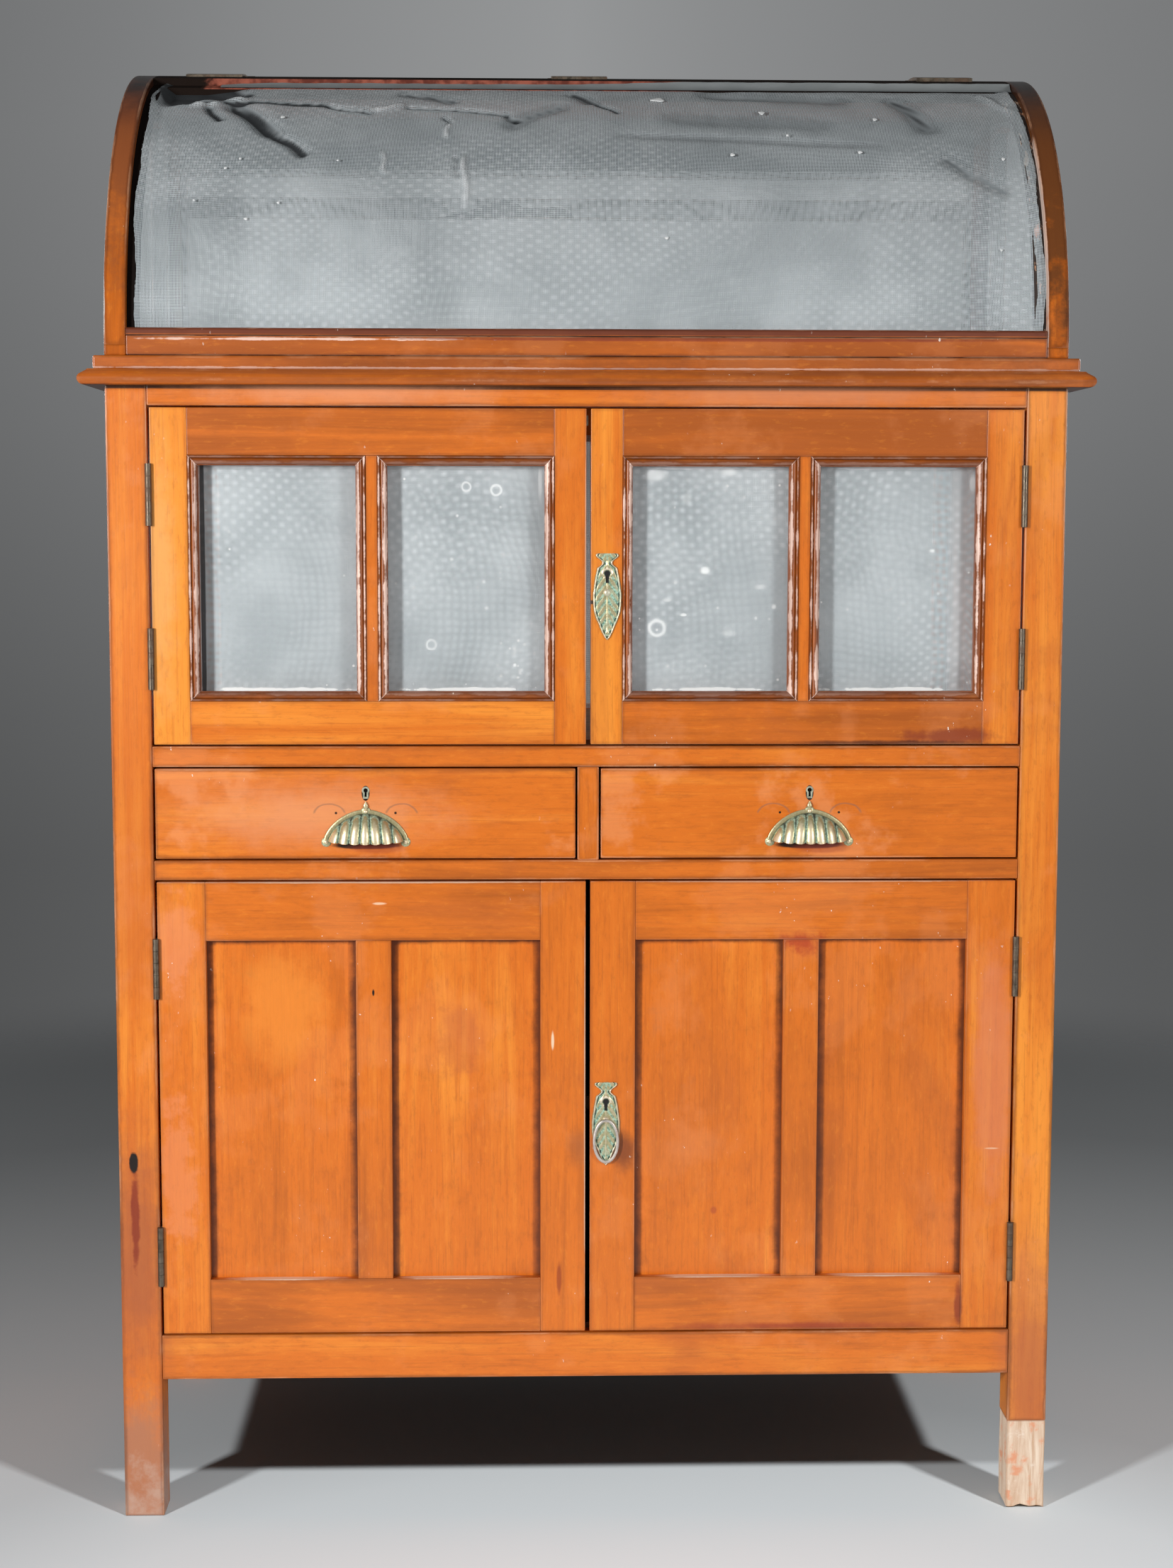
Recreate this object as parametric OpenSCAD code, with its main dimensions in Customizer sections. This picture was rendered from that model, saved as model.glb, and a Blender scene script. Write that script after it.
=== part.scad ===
// Pie safe with a domed gauze lid, two gauze doors, two drawers and two panelled doors.
// X runs to the right, Y to the back and Z up. The floor is Z = 0 and the origin is mid-plan.

/* [Body] */
// Width over the four posts
body_w = 1150; // [950:10:1400]
// Depth over the four posts
body_d = 555; // [480:5:640]
// Height of the bottom rail above the floor
leg_clear = 175; // [140:5:260]
// Side of the square posts
post_w = 49; // [44:1:58]
// Height of the raw wood spliced under the right front post
splice_h = 113; // [60:1:130]

/* [Front rails] */
// Height of the bottom rail
bottom_rail_h = 56; // [44:1:80]
// Height of the lower doorway
lower_way_h = 568; // [460:1:680]
// Height of the rail under the drawers
drawer_rail_h = 24; // [18:1:36]
// Height of the drawer openings
drawer_way_h = 114; // [100:1:150]
// Height of the rail over the drawers
waist_rail_h = 25; // [20:1:36]
// Height of the upper doorway
upper_way_h = 407; // [360:1:500]
// Height of the frieze rail that shows under the cornice
frieze_h = 23; // [16:1:50]
// Thickness of the front, side and back rails
rail_t = 22; // [20:1:26]
// Width of the upright between the drawers
divider_w = 26; // [20:1:40]
// Length of the stub tenons
tenon_l = 16; // [10:1:20]
// Shoulder above and below each tenon
tenon_shoulder = 4; // [3:0.5:6]

/* [Sides and back] */
// Set-back of the side rails from the posts
side_inset = 6; // [3:1:10]
// Set-back of the back rails from the posts
back_inset = 3; // [2:1:8]
// Height of the waist rail of the sides and back
waist_h = 45; // [36:1:60]
// Height of the top rail of the sides and back below the cornice
top_rail_h = 47; // [36:1:60]
// Width of the upright in the middle of each gauze side
side_muntin_w = 34; // [24:1:50]
// Width of the back uprights beside the rear posts
back_stile_w = 19; // [12:1:40]
// Thickness of the side panels
panel_t = 8; // [6:1:10]
// Depth that panels stand in their grooves
tongue = 7; // [4:1:9]
// Thickness of the back boards
back_board_t = 12; // [8:1:16]
// Number of back boards
back_board_count = 8; // [5:1:12]
// Gap between two back boards
board_gap = 0.4; // [0.2:0.1:1]

/* [Floors and shelf] */
// Thickness of the two compartment floors
floor_t = 18; // [14:1:22]
// Height that a floor stands above its rail, as a door stop
stop_h = 6; // [4:0.5:8]
// Height of the shelf in the lower compartment
shelf_z = 500; // [400:5:600]
// Thickness of the shelf
shelf_t = 16; // [12:1:20]
// Set-back of the shelf from the front of the posts
shelf_back = 60; // [55:1:120]
// Side of the square shelf cleats
cleat = 20; // [14:1:24]
// Width of the outer drawer runners
runner_w = 26; // [18:1:34]
// Width of the runner that both drawers share
centre_runner_w = 76; // [50:1:80]

/* [Cornice] */
// Height of the cornice moulding
cornice_h = 19; // [14:1:26]
// Projection of the cornice moulding
cornice_proj = 28; // [27:1:36]
// Height of the rounded nose of the cornice moulding
nose_h = 12; // [8:1:13]
// Set-back of the fillet under the nose
fillet_back = 8; // [4:1:12]
// Thickness of the top board
top_board_t = 16; // [12:1:22]
// Projection of the top board
top_board_proj = 12; // [8:1:18]

/* [Lid] */
// Outer radius of the dome
dome_r = 370; // [300:5:380]
// Straight height of the lid under the curve
lid_seat = 13; // [8:1:20]
// Width of the curved ribs
rib_w = 26; // [22:1:34]
// Thickness of the ribs and rails of the lid
rib_t = 22; // [18:1:26]
// Width of the ledge inside each rib that carries the gauze
ledge_w = 14; // [10:1:20]
// Height of the bottom rail of the lid
lid_rail_h = 25; // [20:1:34]
// Height of the bead on the bottom rail
bead_h = 9; // [6:1:12]
// Thickness of the bead
bead_t = 7; // [5:0.5:7.5]
// Depth of the gauze below the outer face of the ribs
gauze_drop = 8; // [8:0.5:10]
// Angle of the top rail of the lid
top_rail_angle = 17; // [10:1:22]
// Angle of the ledge under the top rail that carries the gauze
top_ledge_angle = 3; // [2:0.5:5]
// Play between the lid and what it shuts on
lid_play = 0.3; // [0.2:0.1:0.6]
// Thickness of the gauze
gauze_t = 0.8; // [0.6:0.1:1]
// Overlap of the flat gauze on its frame
gauze_lap = 9; // [6:1:10]

/* [Dome ends and back] */
// Thickness of the dome ends
end_t = 22; // [16:1:26]
// Width of the curved rim of the dome ends
end_rim = 36; // [26:1:50]
// Height of the sill of the dome ends
end_sill = 40; // [30:1:60]
// Width of the rear upright of the dome ends
end_stile = 155; // [80:5:170]
// Thickness of the frame behind the dome
dome_back_t = 22; // [16:1:26]
// Width of the uprights behind the dome
dome_stile_w = 10; // [8:1:40]
// Height of the bottom rail behind the dome
dome_sill_h = 60; // [30:1:70]
// Height of the top rail behind the dome
dome_head_h = 78; // [40:1:90]
// Gauze strip between the top rail and the bar behind the dome
dome_slot_h = 29; // [20:1:50]
// Height of the bar behind the dome
dome_bar_h = 28; // [16:1:40]

/* [Doors] */
// Thickness of the doors
door_t = 21; // [19:0.5:21.5]
// Gap above and below each door
door_gap = 1.5; // [1:0.25:2]
// Gap on the hinge side of each door
hinge_gap = 2; // [1.6:0.1:2.6]
// Gap between two doors
meeting_gap = 4; // [2.5:0.5:5]
// Hinge stile of the upper doors
upper_hinge_stile = 45; // [36:1:60]
// Meeting stile of the upper doors
upper_meeting_stile = 39; // [36:1:60]
// Top rail of the upper doors
upper_top_rail = 57; // [44:1:70]
// Bottom rail of the upper doors
upper_bottom_rail = 53; // [44:1:70]
// Muntin of the upper doors
upper_muntin = 14; // [12:1:24]
// Width of the mouldings round the gauze panes
bead_w = 12; // [8:0.5:14]
// Height of the mouldings above the face of the door
bead_proud = 2; // [1:0.5:3]
// Depth of the mouldings below the face of the door
bead_depth = 12; // [8:1:16]
// Hinge stile of the lower doors
lower_hinge_stile = 59; // [44:1:70]
// Meeting stile of the lower doors
lower_meeting_stile = 56; // [54:1:70]
// Top rail of the lower doors
lower_top_rail = 73; // [54:1:90]
// Bottom rail of the lower doors
lower_bottom_rail = 69; // [54:1:90]
// Muntin of the lower doors
lower_muntin = 43; // [30:1:60]
// Recess of the lower door panels below the face
panel_recess = 10; // [8:0.5:11]

/* [Hinges] */
// Length of the door and lid hinges
hinge_l = 74; // [60:1:90]
// Radius of the knuckles
knuckle_r = 4; // [3.5:0.25:4.5]
// Radius of the hinge pin
hinge_pin_r = 1.8; // [1.4:0.1:2]
// Thickness of the hinge leaves
leaf_t = 1.5; // [1.2:0.1:1.8]
// Width of the hinge leaves
leaf_w = 19; // [14:1:19.5]
// Distance of the knuckle axis in front of the face
knuckle_out = 2; // [1:0.25:2.5]
// Centre of the upper doors' lower hinge above the door's foot
upper_hinge_low = 104; // [70:1:130]
// Centre of the upper doors' upper hinge below the door's head
upper_hinge_high = 104; // [70:1:130]
// Centre of the lower doors' lower hinge above the door's foot
lower_hinge_low = 99; // [70:1:150]
// Centre of the lower doors' upper hinge below the door's head
lower_hinge_high = 107; // [70:1:150]
// Middle of each outer lid hinge in from the lid's rib
lid_hinge_in = 82; // [60:1:300]
// Place of the middle lid hinge
lid_hinge_mid_x = -8; // [-20:1:20]

/* [Door plates, ring and locks] */
// Distance of the key plates from the edge of the door
plate_in = 20.5; // [18.5:0.5:20.5]
// Centre of the upper key plate above the door's foot
upper_plate_z = 179; // [120:1:250]
// Centre of the lower key plate above the door's foot
lower_plate_z = 263; // [200:1:360]
// Height of the key plates
plate_h = 104; // [90:1:120]
// Width of the key plates
plate_w = 35; // [30:1:36]
// Thickness of the key plates
plate_t = 2; // [1.5:0.25:3]
// Width of the crown of the key plates
crown_w = 28; // [20:1:32]
// Height of the crown of the key plates
crown_h = 12; // [8:1:16]
// Width of the neck of the key plates
neck_w = 12; // [11:1:16]
// Height of the keyhole above the plate's centre
key_up = 25; // [22:0.5:27]
// Height of the ring's boss above the plate's centre
boss_up = 5; // [0:0.5:6]
// Radius of the ring's rod
ring_rod_r = 2; // [1.5:0.1:2.2]
// Width of the ring over its rod
ring_w = 33; // [30:1:36]
// Height of the ring over its rod
ring_h = 56; // [48:1:60]
// Radius of the keyholes
key_r = 2.6; // [2:0.1:2.8]
// Width of the keyhole slot
key_slot_w = 2.6; // [2:0.1:3]
// Length of the keyhole slot below the round
key_slot_l = 8; // [6:0.5:9]
// Width of the door lock cases
lock_w = 26; // [24:0.5:26]
// Thickness of the door lock cases
lock_t = 11; // [9:0.5:14]
// Height of the door lock cases
lock_h = 56; // [40:1:70]
// Height of the lock bolts
bolt_h = 12; // [9:0.5:14]
// Thickness of the lock bolts
bolt_t = 5; // [4:0.5:5]
// Length of the lock bolts
bolt_l = 20; // [18:0.5:21]
// Clearance of a bolt in its lock
bolt_play = 0.3; // [0.2:0.05:0.4]

/* [Turn buttons] */
// Half length of the turn buttons
button_reach = 22; // [20:0.5:23]
// Width of the turn buttons
button_w = 12; // [9:0.5:13]
// Thickness of the turn buttons
button_t = 4; // [3:0.5:6]
// Pivot of a turn button below the head of its door
button_down = 14; // [12:0.5:15]
// Pivot of the upper turn button from the edge of its door
upper_button_in = 20; // [14:1:24]
// Pivot of the lower turn button from the edge of its door
lower_button_in = 46; // [46:0.5:48]
// Radius of the turn button's screw
button_pin_r = 2; // [1.5:0.1:2.5]
// Depth of the turn button's screw in the door
button_pin_l = 12; // [8:0.5:14]

/* [Drawers] */
// Thickness of the drawer fronts
front_t = 20; // [18:0.5:21]
// Gap round the drawer fronts
drawer_gap = 1.5; // [1:0.25:2]
// Thickness of the drawer sides and backs
side_t = 12; // [9:0.5:14]
// Thickness of the drawer bottoms
drawer_bottom_t = 6; // [4:0.5:8]
// Height of the drawer sides
drawer_side_h = 96; // [80:1:98]
// Height of the drawer bottom above the runner
bottom_up = 8; // [6:0.5:12]
// Depth of the grooves for the drawer bottom
bottom_groove = 5; // [3:0.5:6]
// Space behind the drawers
drawer_back_space = 8; // [3:1:30]
// Clearance between a drawer and its runner
runner_play = 0.3; // [0.2:0.05:0.5]
// Width of the cup pulls over their screw ears
pull_w = 108; // [104:1:120]
// Height of the cup pulls
pull_h = 50; // [42:1:51]
// Projection of the cup pulls
pull_out = 24; // [18:1:26]
// Wall of the cup pulls
pull_wall = 1.6; // [1.2:0.1:2.4]
// Foot of the cup pulls above the foot of the drawer front
pull_up = 15; // [12:0.5:17]
// Height of the screw ears of the cup pulls
ear_h = 14; // [10:1:18]
// Height of the drawer keyholes above the foot of the drawer front
drawer_key_up = 84; // [83:0.5:88]
// Wall of the keyhole rims
rim_wall = 2; // [1.2:0.1:2.4]
// Depth of the keyhole rims
rim_depth = 4; // [3:0.5:6]
// Width of the drawer lock cases
drawer_lock_w = 44; // [36:1:60]
// Height of the drawer lock cases
drawer_lock_h = 44; // [40:1:46]
// Thickness of the drawer lock cases
drawer_lock_t = 9; // [8:0.5:10]
// Wood left above the drawer lock cases
drawer_lock_top = 4; // [3:0.5:6]
// Travel of the drawer bolts
drawer_bolt_travel = 8; // [6:0.5:9]

/* [Hidden] */
// Clearance of glued and housed joints
joint_gap = 0.1;
seam_angle = 0.1;
leaf_root = 0.2;
// Radial clearance of the pins that turn
pin_fit = 0.05;
// Distance between parts that move past each other
run_gap = 0.3;
// Overlap that makes a cut pass right through
cut = 1;
$fn = 64;

// Places along Y
front_y = (cornice_proj + joint_gap - body_d) / 2;
back_y = front_y + body_d;
inner_back_y = back_y - back_inset - rail_t - back_board_t - joint_gap;

// Places along X
half_w = body_w / 2;
way_x = half_w - post_w;
side_in_x = half_w - side_inset - rail_t;
lid_in_x = half_w - rib_w;

// Heights, from the floor up
bottom_top = leg_clear + bottom_rail_h;
drawer_rail_z = bottom_top + lower_way_h;
drawer_z = drawer_rail_z + drawer_rail_h;
waist_z = drawer_z + drawer_way_h;
upper_z = waist_z + waist_rail_h;
frieze_z = upper_z + upper_way_h;
cornice_z = frieze_z + frieze_h;
carcass_top = cornice_z + cornice_h;
dome_z = carcass_top + top_board_t;
waist_low_z = upper_z + stop_h + tongue - waist_h;
top_rail_z = cornice_z - top_rail_h;
arc_y = front_y + dome_r;
arc_z = dome_z + lid_seat;
apex_z = arc_z + dome_r;

// Doors
door_w = (2 * way_x - 2 * hinge_gap - meeting_gap) / 2;
upper_door_z = upper_z + door_gap;
upper_door_h = upper_way_h - 2 * door_gap;
lower_door_z = bottom_top + door_gap;
lower_door_h = lower_way_h - 2 * door_gap;

// Drawers
drawer_w = way_x - divider_w / 2 - 2 * drawer_gap;
drawer_x = (way_x + divider_w / 2) / 2;
front_h = drawer_way_h - 2 * drawer_gap;
box_l = inner_back_y - drawer_back_space - front_y - front_t;

wood = "sienna";
panel_wood = "peru";
brass = "darkgoldenrod";
steel = "dimgray";
gauze = "lightsteelblue";

// A box from one corner to the opposite one
module block(lo, hi) {
    translate(lo) cube(hi - lo);
}

// Children once as drawn and once mirrored to the other side
module both_sides() {
    children();
    mirror([1, 0, 0]) children();
}

// A profile drawn in Y and Z, run along X
module along_x(x0, x1) {
    translate([x0, 0, 0]) rotate([90, 0, 90]) linear_extrude(x1 - x0) children();
}

// A profile drawn in X and Z, run forwards from the plane y
module forward(y, depth) {
    translate([0, y, 0]) rotate([90, 0, 0]) linear_extrude(depth) children();
}

// Stub tenon on the end of a rail along X, past x on the side that dir gives
module tenon_x(x, dir, y0, z0, t, h, grow) {
    a = dir > 0 ? x - cut : x - tenon_l - grow;
    block([a, y0 + t / 3 - grow, z0 + tenon_shoulder - grow],
          [a + tenon_l + grow + cut, y0 + 2 * t / 3 + grow, z0 + h - tenon_shoulder + grow]);
}

// Stub tenon on the end of a rail along Y
module tenon_y(y, dir, x0, z0, t, h, grow) {
    a = dir > 0 ? y - cut : y - tenon_l - grow;
    block([x0 + t / 3 - grow, a, z0 + tenon_shoulder - grow],
          [x0 + 2 * t / 3 + grow, a + tenon_l + grow + cut, z0 + h - tenon_shoulder + grow]);
}

// Stub tenon on the end of an upright
module tenon_z(z, dir, x0, y0, w, t, grow) {
    a = dir > 0 ? z - cut : z - tenon_l - grow;
    block([x0 + tenon_shoulder - grow, y0 + t / 3 - grow, a],
          [x0 + w - tenon_shoulder + grow, y0 + 2 * t / 3 + grow, a + tenon_l + grow + cut]);
}

// Heights of the front rails: foot and height of each
front_rail_list = [
    [leg_clear, bottom_rail_h], [drawer_rail_z, drawer_rail_h],
    [waist_z, waist_rail_h], [frieze_z, frieze_h + cornice_h]
];
side_rail_list = [
    [leg_clear, bottom_rail_h], [waist_low_z, waist_h], [top_rail_z, top_rail_h + cornice_h]
];

module front_rail_tenons(grow = 0) {
    both_sides() for (r = front_rail_list) tenon_x(way_x, 1, front_y, r[0], rail_t, r[1], grow);
}

module back_rail_tenons(grow = 0) {
    both_sides() for (r = side_rail_list)
        tenon_x(way_x, 1, back_y - back_inset - rail_t, r[0], rail_t, r[1], grow);
}

module side_rail_tenons(grow = 0) {
    both_sides() for (r = side_rail_list) {
        tenon_y(back_y - post_w, 1, side_in_x, r[0], rail_t, r[1], grow);
        tenon_y(front_y + post_w, -1, side_in_x, r[0], rail_t, r[1], grow);
    }
}

module side_panel_solids(grow = 0) {
    x0 = side_in_x + (rail_t - panel_t) / 2;
    both_sides() block(
        [x0 - grow, front_y + post_w - tongue - grow, bottom_top - tongue - grow],
        [x0 + panel_t + grow, back_y - post_w + tongue + grow, waist_low_z + tongue + grow]);
}

// The two hinge heights on each side, with the doors' axes
door_hinge_list = [
    upper_door_z + upper_hinge_low, upper_door_z + upper_door_h - upper_hinge_high,
    lower_door_z + lower_hinge_low, lower_door_z + lower_door_h - lower_hinge_high
];
hinge_x = way_x - hinge_gap / 2;
hinge_y = front_y - knuckle_out;
lid_hinge_x = lid_in_x - lid_hinge_in;
lid_hinge_list = [-lid_hinge_x, lid_hinge_mid_x, lid_hinge_x];

// Hinge parts stand on their axis: the leaves run along +Y, the fixed one on the -X side
module knuckles(first, bore) {
    step = hinge_l / 5;
    for (i = [first : 2 : 4]) translate([0, 0, i * step - hinge_l / 2 + run_gap / 2]) {
        side = first == 0 ? -1 : 1;
        lo = side > 0 ? run_gap / 2 : -run_gap / 2 - leaf_t;
        difference() {
            union() {
                cylinder(r = knuckle_r, h = step - run_gap);
                block([lo, 0, 0], [lo + leaf_t, knuckle_r + run_gap + leaf_root, step - run_gap]);
            }
            if (bore > 0)
                translate([0, 0, -cut]) cylinder(r = bore, h = step + 2 * cut);
        }
    }
}

module fixed_leaf() {
    block([-run_gap / 2 - leaf_t, knuckle_r + run_gap, -hinge_l / 2],
          [-run_gap / 2, leaf_w, hinge_l / 2]);
    knuckles(0, 0);
    translate([0, 0, -hinge_l / 2 + run_gap]) cylinder(r = hinge_pin_r, h = hinge_l - 2 * run_gap);
}

module moving_leaf() {
    block([run_gap / 2, knuckle_r + run_gap, -hinge_l / 2],
          [run_gap / 2 + leaf_t, leaf_w, hinge_l / 2]);
    knuckles(1, hinge_pin_r + pin_fit);
}

// Room for a hinge in the wood on both sides of its gap
module hinge_room() {
    g = joint_gap;
    translate([0, 0, -hinge_l / 2 - g]) cylinder(r = knuckle_r + run_gap, h = hinge_l + 2 * g);
    block([-run_gap / 2 - leaf_t - g, 0, -hinge_l / 2 - g],
          [run_gap / 2 + leaf_t + g, leaf_w + g, hinge_l / 2 + g]);
}

// Children at the four left door hinges, or at the hinges of one door
module at_left_hinges(heights) {
    for (z = heights) translate([-hinge_x, hinge_y, z]) children();
}

module at_lid_hinges() {
    for (x = lid_hinge_list) translate([x, arc_y, apex_z + knuckle_out])
        rotate([-90, 0, -90]) children();
}

module door_hinge_rooms() {
    both_sides() at_left_hinges(door_hinge_list) hinge_room();
}

// Posts
module post_blank(z0) {
    difference() {
        block([-half_w, front_y, z0], [-way_x, front_y + post_w, carcass_top]);
        front_rail_tenons(joint_gap);
        side_rail_tenons(joint_gap);
        side_panel_solids(joint_gap);
        door_hinge_rooms();
    }
}

module front_left_post() {
    color(wood) post_blank(0);
}

module front_right_post() {
    color(wood) mirror([1, 0, 0]) post_blank(splice_h);
}

module spliced_foot() {
    color("wheat") mirror([1, 0, 0])
        block([-half_w, front_y, 0], [-way_x, front_y + post_w, splice_h]);
}

module rear_posts() {
    color(wood) difference() {
        both_sides() block([-half_w, back_y - post_w, 0], [-way_x, back_y, carcass_top]);
        back_rail_tenons(joint_gap);
        side_rail_tenons(joint_gap);
        side_panel_solids(joint_gap);
    }
}

// Front rails, with the divider's mortises and the drawer bolts' mortises
module front_rails() {
    color(wood) difference() {
        union() {
            for (r = front_rail_list)
                block([-way_x + joint_gap, front_y, r[0]],
                      [way_x - joint_gap, front_y + rail_t, r[0] + r[1]]);
            front_rail_tenons();
        }
        divider_tenons(joint_gap);
        both_sides() translate([drawer_x, 0, 0])
            drawer_bolt_blank(bolt_play, cut, drawer_bolt_travel + cut);
    }
}

module divider_tenons(grow = 0) {
    h = (drawer_rail_h < waist_rail_h ? drawer_rail_h : waist_rail_h) / 2;
    block([-divider_w / 2 + tenon_shoulder - grow, front_y + rail_t / 3 - grow, drawer_z - h - grow],
          [divider_w / 2 - tenon_shoulder + grow, front_y + 2 * rail_t / 3 + grow, waist_z + h + grow]);
}

module drawer_divider() {
    color(wood) {
        block([-divider_w / 2, front_y, drawer_z + joint_gap],
              [divider_w / 2, front_y + rail_t, waist_z - joint_gap]);
        divider_tenons();
    }
}

// Sides
module side_muntin_tenons(grow = 0) {
    y0 = (front_y + back_y - side_muntin_w) / 2;
    z0 = waist_low_z + waist_h;
    both_sides() block(
        [side_in_x + rail_t / 3 - grow, y0 + tenon_shoulder - grow, z0 - tenon_l - grow],
        [side_in_x + 2 * rail_t / 3 + grow, y0 + side_muntin_w - tenon_shoulder + grow,
         top_rail_z + tenon_l + grow]);
}

module side_rails() {
    y0 = (front_y + back_y - side_muntin_w) / 2;
    color(wood) {
        difference() {
            union() {
                both_sides() for (r = side_rail_list)
                    block([side_in_x, front_y + post_w + joint_gap, r[0]],
                          [side_in_x + rail_t, back_y - post_w - joint_gap, r[0] + r[1]]);
                side_rail_tenons();
            }
            side_panel_solids(joint_gap);
            side_muntin_tenons(joint_gap);
        }
        both_sides() block([side_in_x, y0, waist_low_z + waist_h + joint_gap],
                           [side_in_x + rail_t, y0 + side_muntin_w, top_rail_z - joint_gap]);
        side_muntin_tenons();
    }
}

module side_panels() {
    color(panel_wood) side_panel_solids();
}

// Gauze of the upper compartment: both sides and the back
module carcass_screens() {
    x0 = side_in_x - joint_gap;
    y1 = back_y - back_inset - rail_t - joint_gap;
    color(gauze) {
        both_sides()
            block([x0 - gauze_t, front_y + post_w + joint_gap, upper_z + stop_h + joint_gap],
                  [x0, back_y - post_w - joint_gap, top_rail_z + gauze_lap]);
        block([-way_x + joint_gap, y1 - gauze_t, upper_z + stop_h + joint_gap],
              [way_x - joint_gap, y1, top_rail_z + gauze_lap]);
    }
}

// Back
module back_rails() {
    y0 = back_y - back_inset - rail_t;
    color(wood) {
        for (r = side_rail_list)
            block([-way_x + joint_gap, y0, r[0]], [way_x - joint_gap, y0 + rail_t, r[0] + r[1]]);
        back_rail_tenons();
        both_sides() block([way_x - back_stile_w, y0, waist_low_z + waist_h + joint_gap],
                           [way_x - joint_gap, y0 + rail_t, top_rail_z - joint_gap]);
    }
}

module back_boards() {
    board_w = 2 * way_x / back_board_count;
    y0 = inner_back_y;
    color(panel_wood) for (i = [0 : back_board_count - 1])
        block([-way_x + i * board_w + board_gap / 2, y0, leg_clear],
              [-way_x + (i + 1) * board_w - board_gap / 2, y0 + back_board_t, upper_z + stop_h]);
}

// Floors and shelf
module board_between(z0, t, y0) {
    difference() {
        block([-side_in_x + joint_gap, y0, z0], [side_in_x - joint_gap, inner_back_y - joint_gap, z0 + t]);
        both_sides() {
            block([way_x - joint_gap, front_y - cut, z0 - cut],
                  [half_w, front_y + post_w + joint_gap, z0 + t + cut]);
            block([way_x - joint_gap, back_y - post_w - joint_gap, z0 - cut],
                  [half_w, back_y + cut, z0 + t + cut]);
        }
    }
}

module bottom_board() {
    color(panel_wood)
        board_between(bottom_top + stop_h - floor_t, floor_t, front_y + rail_t + joint_gap);
}

module waist_board() {
    color(panel_wood)
        board_between(upper_z + stop_h - floor_t, floor_t, front_y + rail_t + joint_gap);
}

module lower_shelf() {
    color(panel_wood) board_between(shelf_z, shelf_t, front_y + shelf_back);
}

// Runners under the drawers, and cleats under the shelf between the posts
module runners_and_cleats() {
    y0 = front_y + rail_t + joint_gap;
    color(wood) {
        both_sides()
            block([side_in_x - cleat, front_y + post_w + joint_gap, shelf_z - cleat - joint_gap],
                  [side_in_x - joint_gap, back_y - post_w - joint_gap, shelf_z - joint_gap]);
        both_sides() block([way_x - runner_w, y0, drawer_rail_z],
                           [way_x - joint_gap, inner_back_y - joint_gap, drawer_z]);
        block([-centre_runner_w / 2, y0, drawer_rail_z],
              [centre_runner_w / 2, inner_back_y - joint_gap, drawer_z]);
    }
}

// Cornice: the moulding's profile stands at the origin and points along +X
module cornice_profile() {
    r = nose_h / 2;
    square([cornice_proj - fillet_back, cornice_h]);
    translate([0, cornice_h - nose_h]) square([cornice_proj - r, nose_h]);
    translate([cornice_proj - r, cornice_h - r]) circle(r);
}

// Plan of one mitred length along X, from its inner edge outwards
module mitre_plan(half, deep) {
    polygon([[-half, 0], [half, 0], [half + deep - joint_gap, deep], [-half - deep + joint_gap, deep]]);
}

module cornice_moulding() {
    reach = cornice_proj + cut;
    color(wood) {
        intersection() {
            translate([0, front_y - joint_gap, cornice_z])
                rotate([90, 0, -90]) translate([0, 0, -half_w - reach])
                    linear_extrude(2 * (half_w + reach)) cornice_profile();
            translate([0, front_y - joint_gap, cornice_z - cut]) mirror([0, 1, 0])
                linear_extrude(cornice_h + 2 * cut) mitre_plan(half_w, reach);
        }
        both_sides() intersection() {
            translate([half_w + joint_gap, back_y, cornice_z])
                rotate([90, 0, 0]) linear_extrude(body_d + reach) cornice_profile();
            translate([half_w + joint_gap, back_y, cornice_z - cut])
                linear_extrude(cornice_h + 2 * cut)
                    polygon([[0, 0], [reach, 0], [reach, -body_d - reach + 2 * joint_gap],
                             [0, -body_d + 2 * joint_gap]]);
        }
    }
}

module top_board() {
    color(wood) block([-half_w - top_board_proj, front_y - top_board_proj, carcass_top + joint_gap],
                      [half_w + top_board_proj, back_y, dome_z]);
}

// Side view of the dome down to the radius r, from the seat to the back
module dome_side(r, foot) {
    translate([arc_y, arc_z]) intersection() {
        circle(r, $fn = 180);
        translate([-r, 0]) square([r, r]);
    }
    translate([arc_y, foot]) square([back_y - arc_y, arc_z + r - foot]);
    translate([arc_y - r, foot]) square([r, arc_z - foot]);
}

end_r = dome_r - rib_t - lid_play;

module dome_ends() {
    sill_z = dome_z + end_sill;
    rim_r = end_r - end_rim;
    color(wood) both_sides() along_x(half_w - end_t, half_w) difference() {
        dome_side(end_r, dome_z + joint_gap);
        intersection() {
            translate([arc_y, arc_z]) circle(rim_r, $fn = 180);
            translate([arc_y - rim_r, sill_z])
                square([back_y - end_stile - arc_y + rim_r, dome_r]);
        }
    }
}

module dome_back_frame() {
    x1 = half_w - end_t - joint_gap;
    top_z = arc_z + end_r;
    head_z = top_z - dome_head_h;
    bar_z = head_z - dome_slot_h - dome_bar_h;
    color(wood) difference() {
        block([-x1, back_y - dome_back_t, dome_z + joint_gap], [x1, back_y, top_z]);
        for (span = [[dome_z + dome_sill_h, bar_z], [bar_z + dome_bar_h, head_z]])
            block([-x1 + dome_stile_w, back_y - dome_back_t - cut, span[0]],
                  [x1 - dome_stile_w, back_y + cut, span[1]]);
    }
}

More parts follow.
